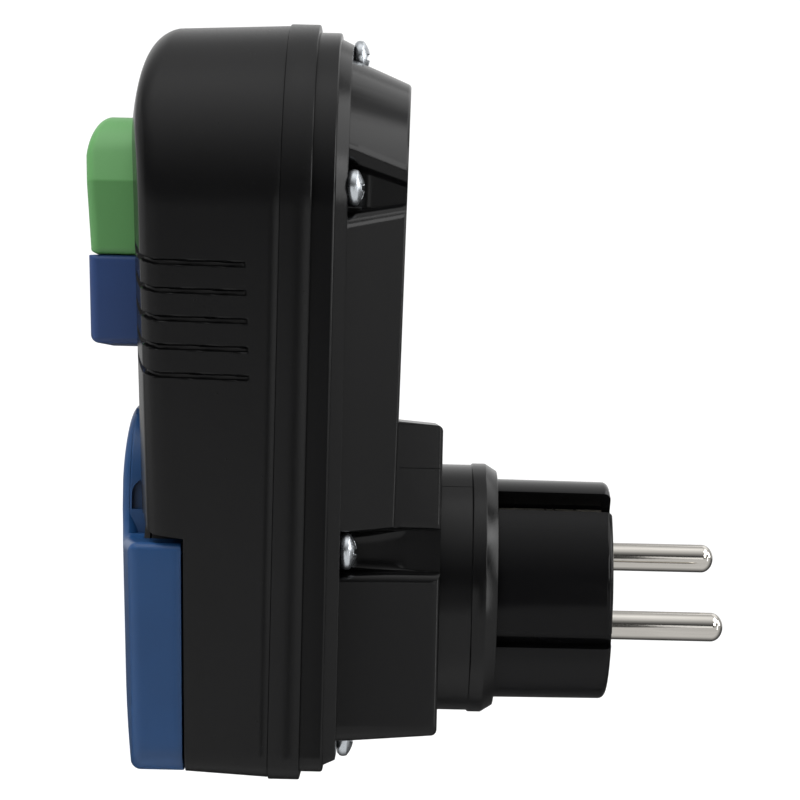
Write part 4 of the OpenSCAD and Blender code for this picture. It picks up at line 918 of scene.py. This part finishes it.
def sweep_rows():
    """Floor that turns up into a wall: a quarter circle between two straight runs, carried along Y."""
    profile = np.concatenate([[[300, -110]], arc(-900, 390, 500, 270, 180, 24), [[-1400, 1600]]])
    return [xyz(profile, y) for y in (-SWEEP_HALF, SWEEP_HALF)]


def calc(tree, operation, *values):
    """Result of a sum, a product or the like of values or outputs."""
    node = add(tree, "Math", *values)
    node.operation = operation
    return node.outputs[0]


def camera_share(tree, shader, seen, share=1):
    """A shader for the light, mixed by a share with another that only the camera sees."""
    ray = add(tree, "LightPath").outputs["Is Camera Ray"]
    return add(tree, "MixShader", calc(tree, "MULTIPLY", ray, share), shader, seen).outputs[0]


def greys(*stops):
    """Stops of a ramp from places and grey levels."""
    return [(place, (level, level, level)) for place, level in stops]


rows = sweep_rows()
n = len(rows[0])
i = np.arange(n - 1)
sweep = put("studio_sweep", np.concatenate(rows), np.stack([i, i + 1, i + 1 + n, i + n], -1).tolist())
pale = bpy.data.materials.new("pale_sweep")
pale.use_nodes = True
tree = pale.node_tree
tree.nodes.remove(tree.nodes["Principled BSDF"])
paint = add(tree, "BsdfDiffuse", Color=(0.85, 0.85, 0.85, 1)).outputs[0]
glow = add(tree, "Emission", Color=WHITE, Strength=1.2).outputs[0]
feed(tree, tree.nodes["Material Output"], Surface=camera_share(tree, paint, glow, 0.8))
sweep.data.materials.append(pale)
sweep.visible_glossy = False

# The room by direction: a bright floor with a dark gap, a dark horizon and light that grows overhead,
# all dimmer away from the camera, and a pale wall behind the part.
world = bpy.data.worlds.new("studio")
bpy.context.scene.world = world
world.use_nodes = True
tree = world.node_tree
way = add(tree, "SeparateXYZ", Vector=add(tree, "TexCoord").outputs["Generated"])
x, y, z = (way.outputs[axis] for axis in "XYZ")
notch = ramp(tree, spread(tree, y, From_Min=-0.2, From_Max=0.3), *greys(
    (0.34, 0), (0.385, 1), (0.47, 1), (0.52, 0.7), (0.60, 0.7), (0.72, 0)))
raised = calc(tree, "MINIMUM", calc(tree, "MULTIPLY_ADD", notch, 0.4, z), 0.2)
height = spread(tree, calc(tree, "MAXIMUM", raised, z), From_Min=-1)
shade = ramp(tree, height, *greys(
    (0.50, 0.72), (0.545, 0.04), (0.66, 0.06), (0.8, 0.34), (0.92, 0.8), (1, 1.25)))
room = calc(tree, "MULTIPLY", shade, spread(tree, x, From_Min=-0.6, From_Max=0.1, To_Min=0.1))
wall = calc(tree, "MULTIPLY", spread(tree, x, From_Min=-0.2, From_Max=-0.95, To_Max=0.75),
            spread(tree, z, From_Min=-0.1, From_Max=0.1))
room_light = feed(tree, tree.nodes["Background"], Color=WHITE, Strength=calc(tree, "ADD", room, wall))
white = add(tree, "Background", Color=WHITE)
feed(tree, tree.nodes["World Output"],
     Surface=camera_share(tree, room_light.outputs[0], white.outputs[0]))


def soft_light(name, place, size, watts, lit=True, mirrored=True):
    """Soft box at a place, turned to the part, that lights it, is mirrored in it, or both."""
    lamp = bpy.data.lights.new(name, "AREA")
    lamp.shape, lamp.size, lamp.size_y, lamp.energy = "RECTANGLE", size[0], size[1], watts
    box_light = bpy.data.objects.new(name, lamp)
    bpy.context.scene.collection.objects.link(box_light)
    way = Vector((0, -0.03, 0.03)) - Vector(place)
    box_light.visible_diffuse, box_light.visible_glossy = lit, mirrored
    box_light.matrix_world = Matrix.Translation(place) @ way.to_track_quat("-Z", "Y").to_matrix().to_4x4()


soft_light("top_soft_box", (0.08, -0.2, 0.7), (0.6, 0.6), 7.2, mirrored=False)
soft_light("side_fill", (0.7, -0.4, 0.3), (0.5, 0.5), 1.1, mirrored=False)
soft_light("front_fill", (0.1, -0.9, 0.3), (0.5, 0.5), 2.2, mirrored=False)
soft_light("front_panel", (-0.2, -0.9, 0.25), (0.6, 0.6), 0.4)
soft_light("right_panel", (0.22, 0.7, 0.74), (0.8, 0.7), 4.3, lit=False)
soft_light("right_back", (-0.55, 0.5, 0.8), (0.7, 0.6), 0.95, lit=False)
soft_light("right_strip", (-0.12, 0.95, 0.33), (0.5, 0.5), 2.2, lit=False)
soft_light("right_edge", (0.35, 1.0, 0.0), (0.15, 0.5), 0.7, lit=False)
soft_light("right_low", (0.72, 0.62, 0.42), (0.45, 0.42), 2.1, lit=False)
soft_light("right_flag", (0.75, 0.8, 0.126), (0.3, 0.14), 0.065, lit=False)
soft_light("right_card", (1.1, 0.26, 0.1), (0.24, 0.24), 0.17, lit=False)

EYE, ROLL, FOCAL_PX, PICTURE_PX = (0.450, -0.0355, 0.0314), math.radians(1.3), 2655, 800
camera = bpy.data.cameras.new("camera")
view = bpy.data.objects.new("camera", camera)
bpy.context.scene.collection.objects.link(view)
camera.sensor_width = 36
camera.lens = camera.sensor_width * FOCAL_PX / PICTURE_PX
facing = Matrix(((0, 0, 1), (1, 0, 0), (0, 1, 0))).to_4x4()
view.matrix_world = Matrix.Translation(EYE) @ facing @ Matrix.Rotation(ROLL, 4, "Z")
bpy.context.scene.camera = view
bpy.context.scene.view_settings.view_transform = "Standard"
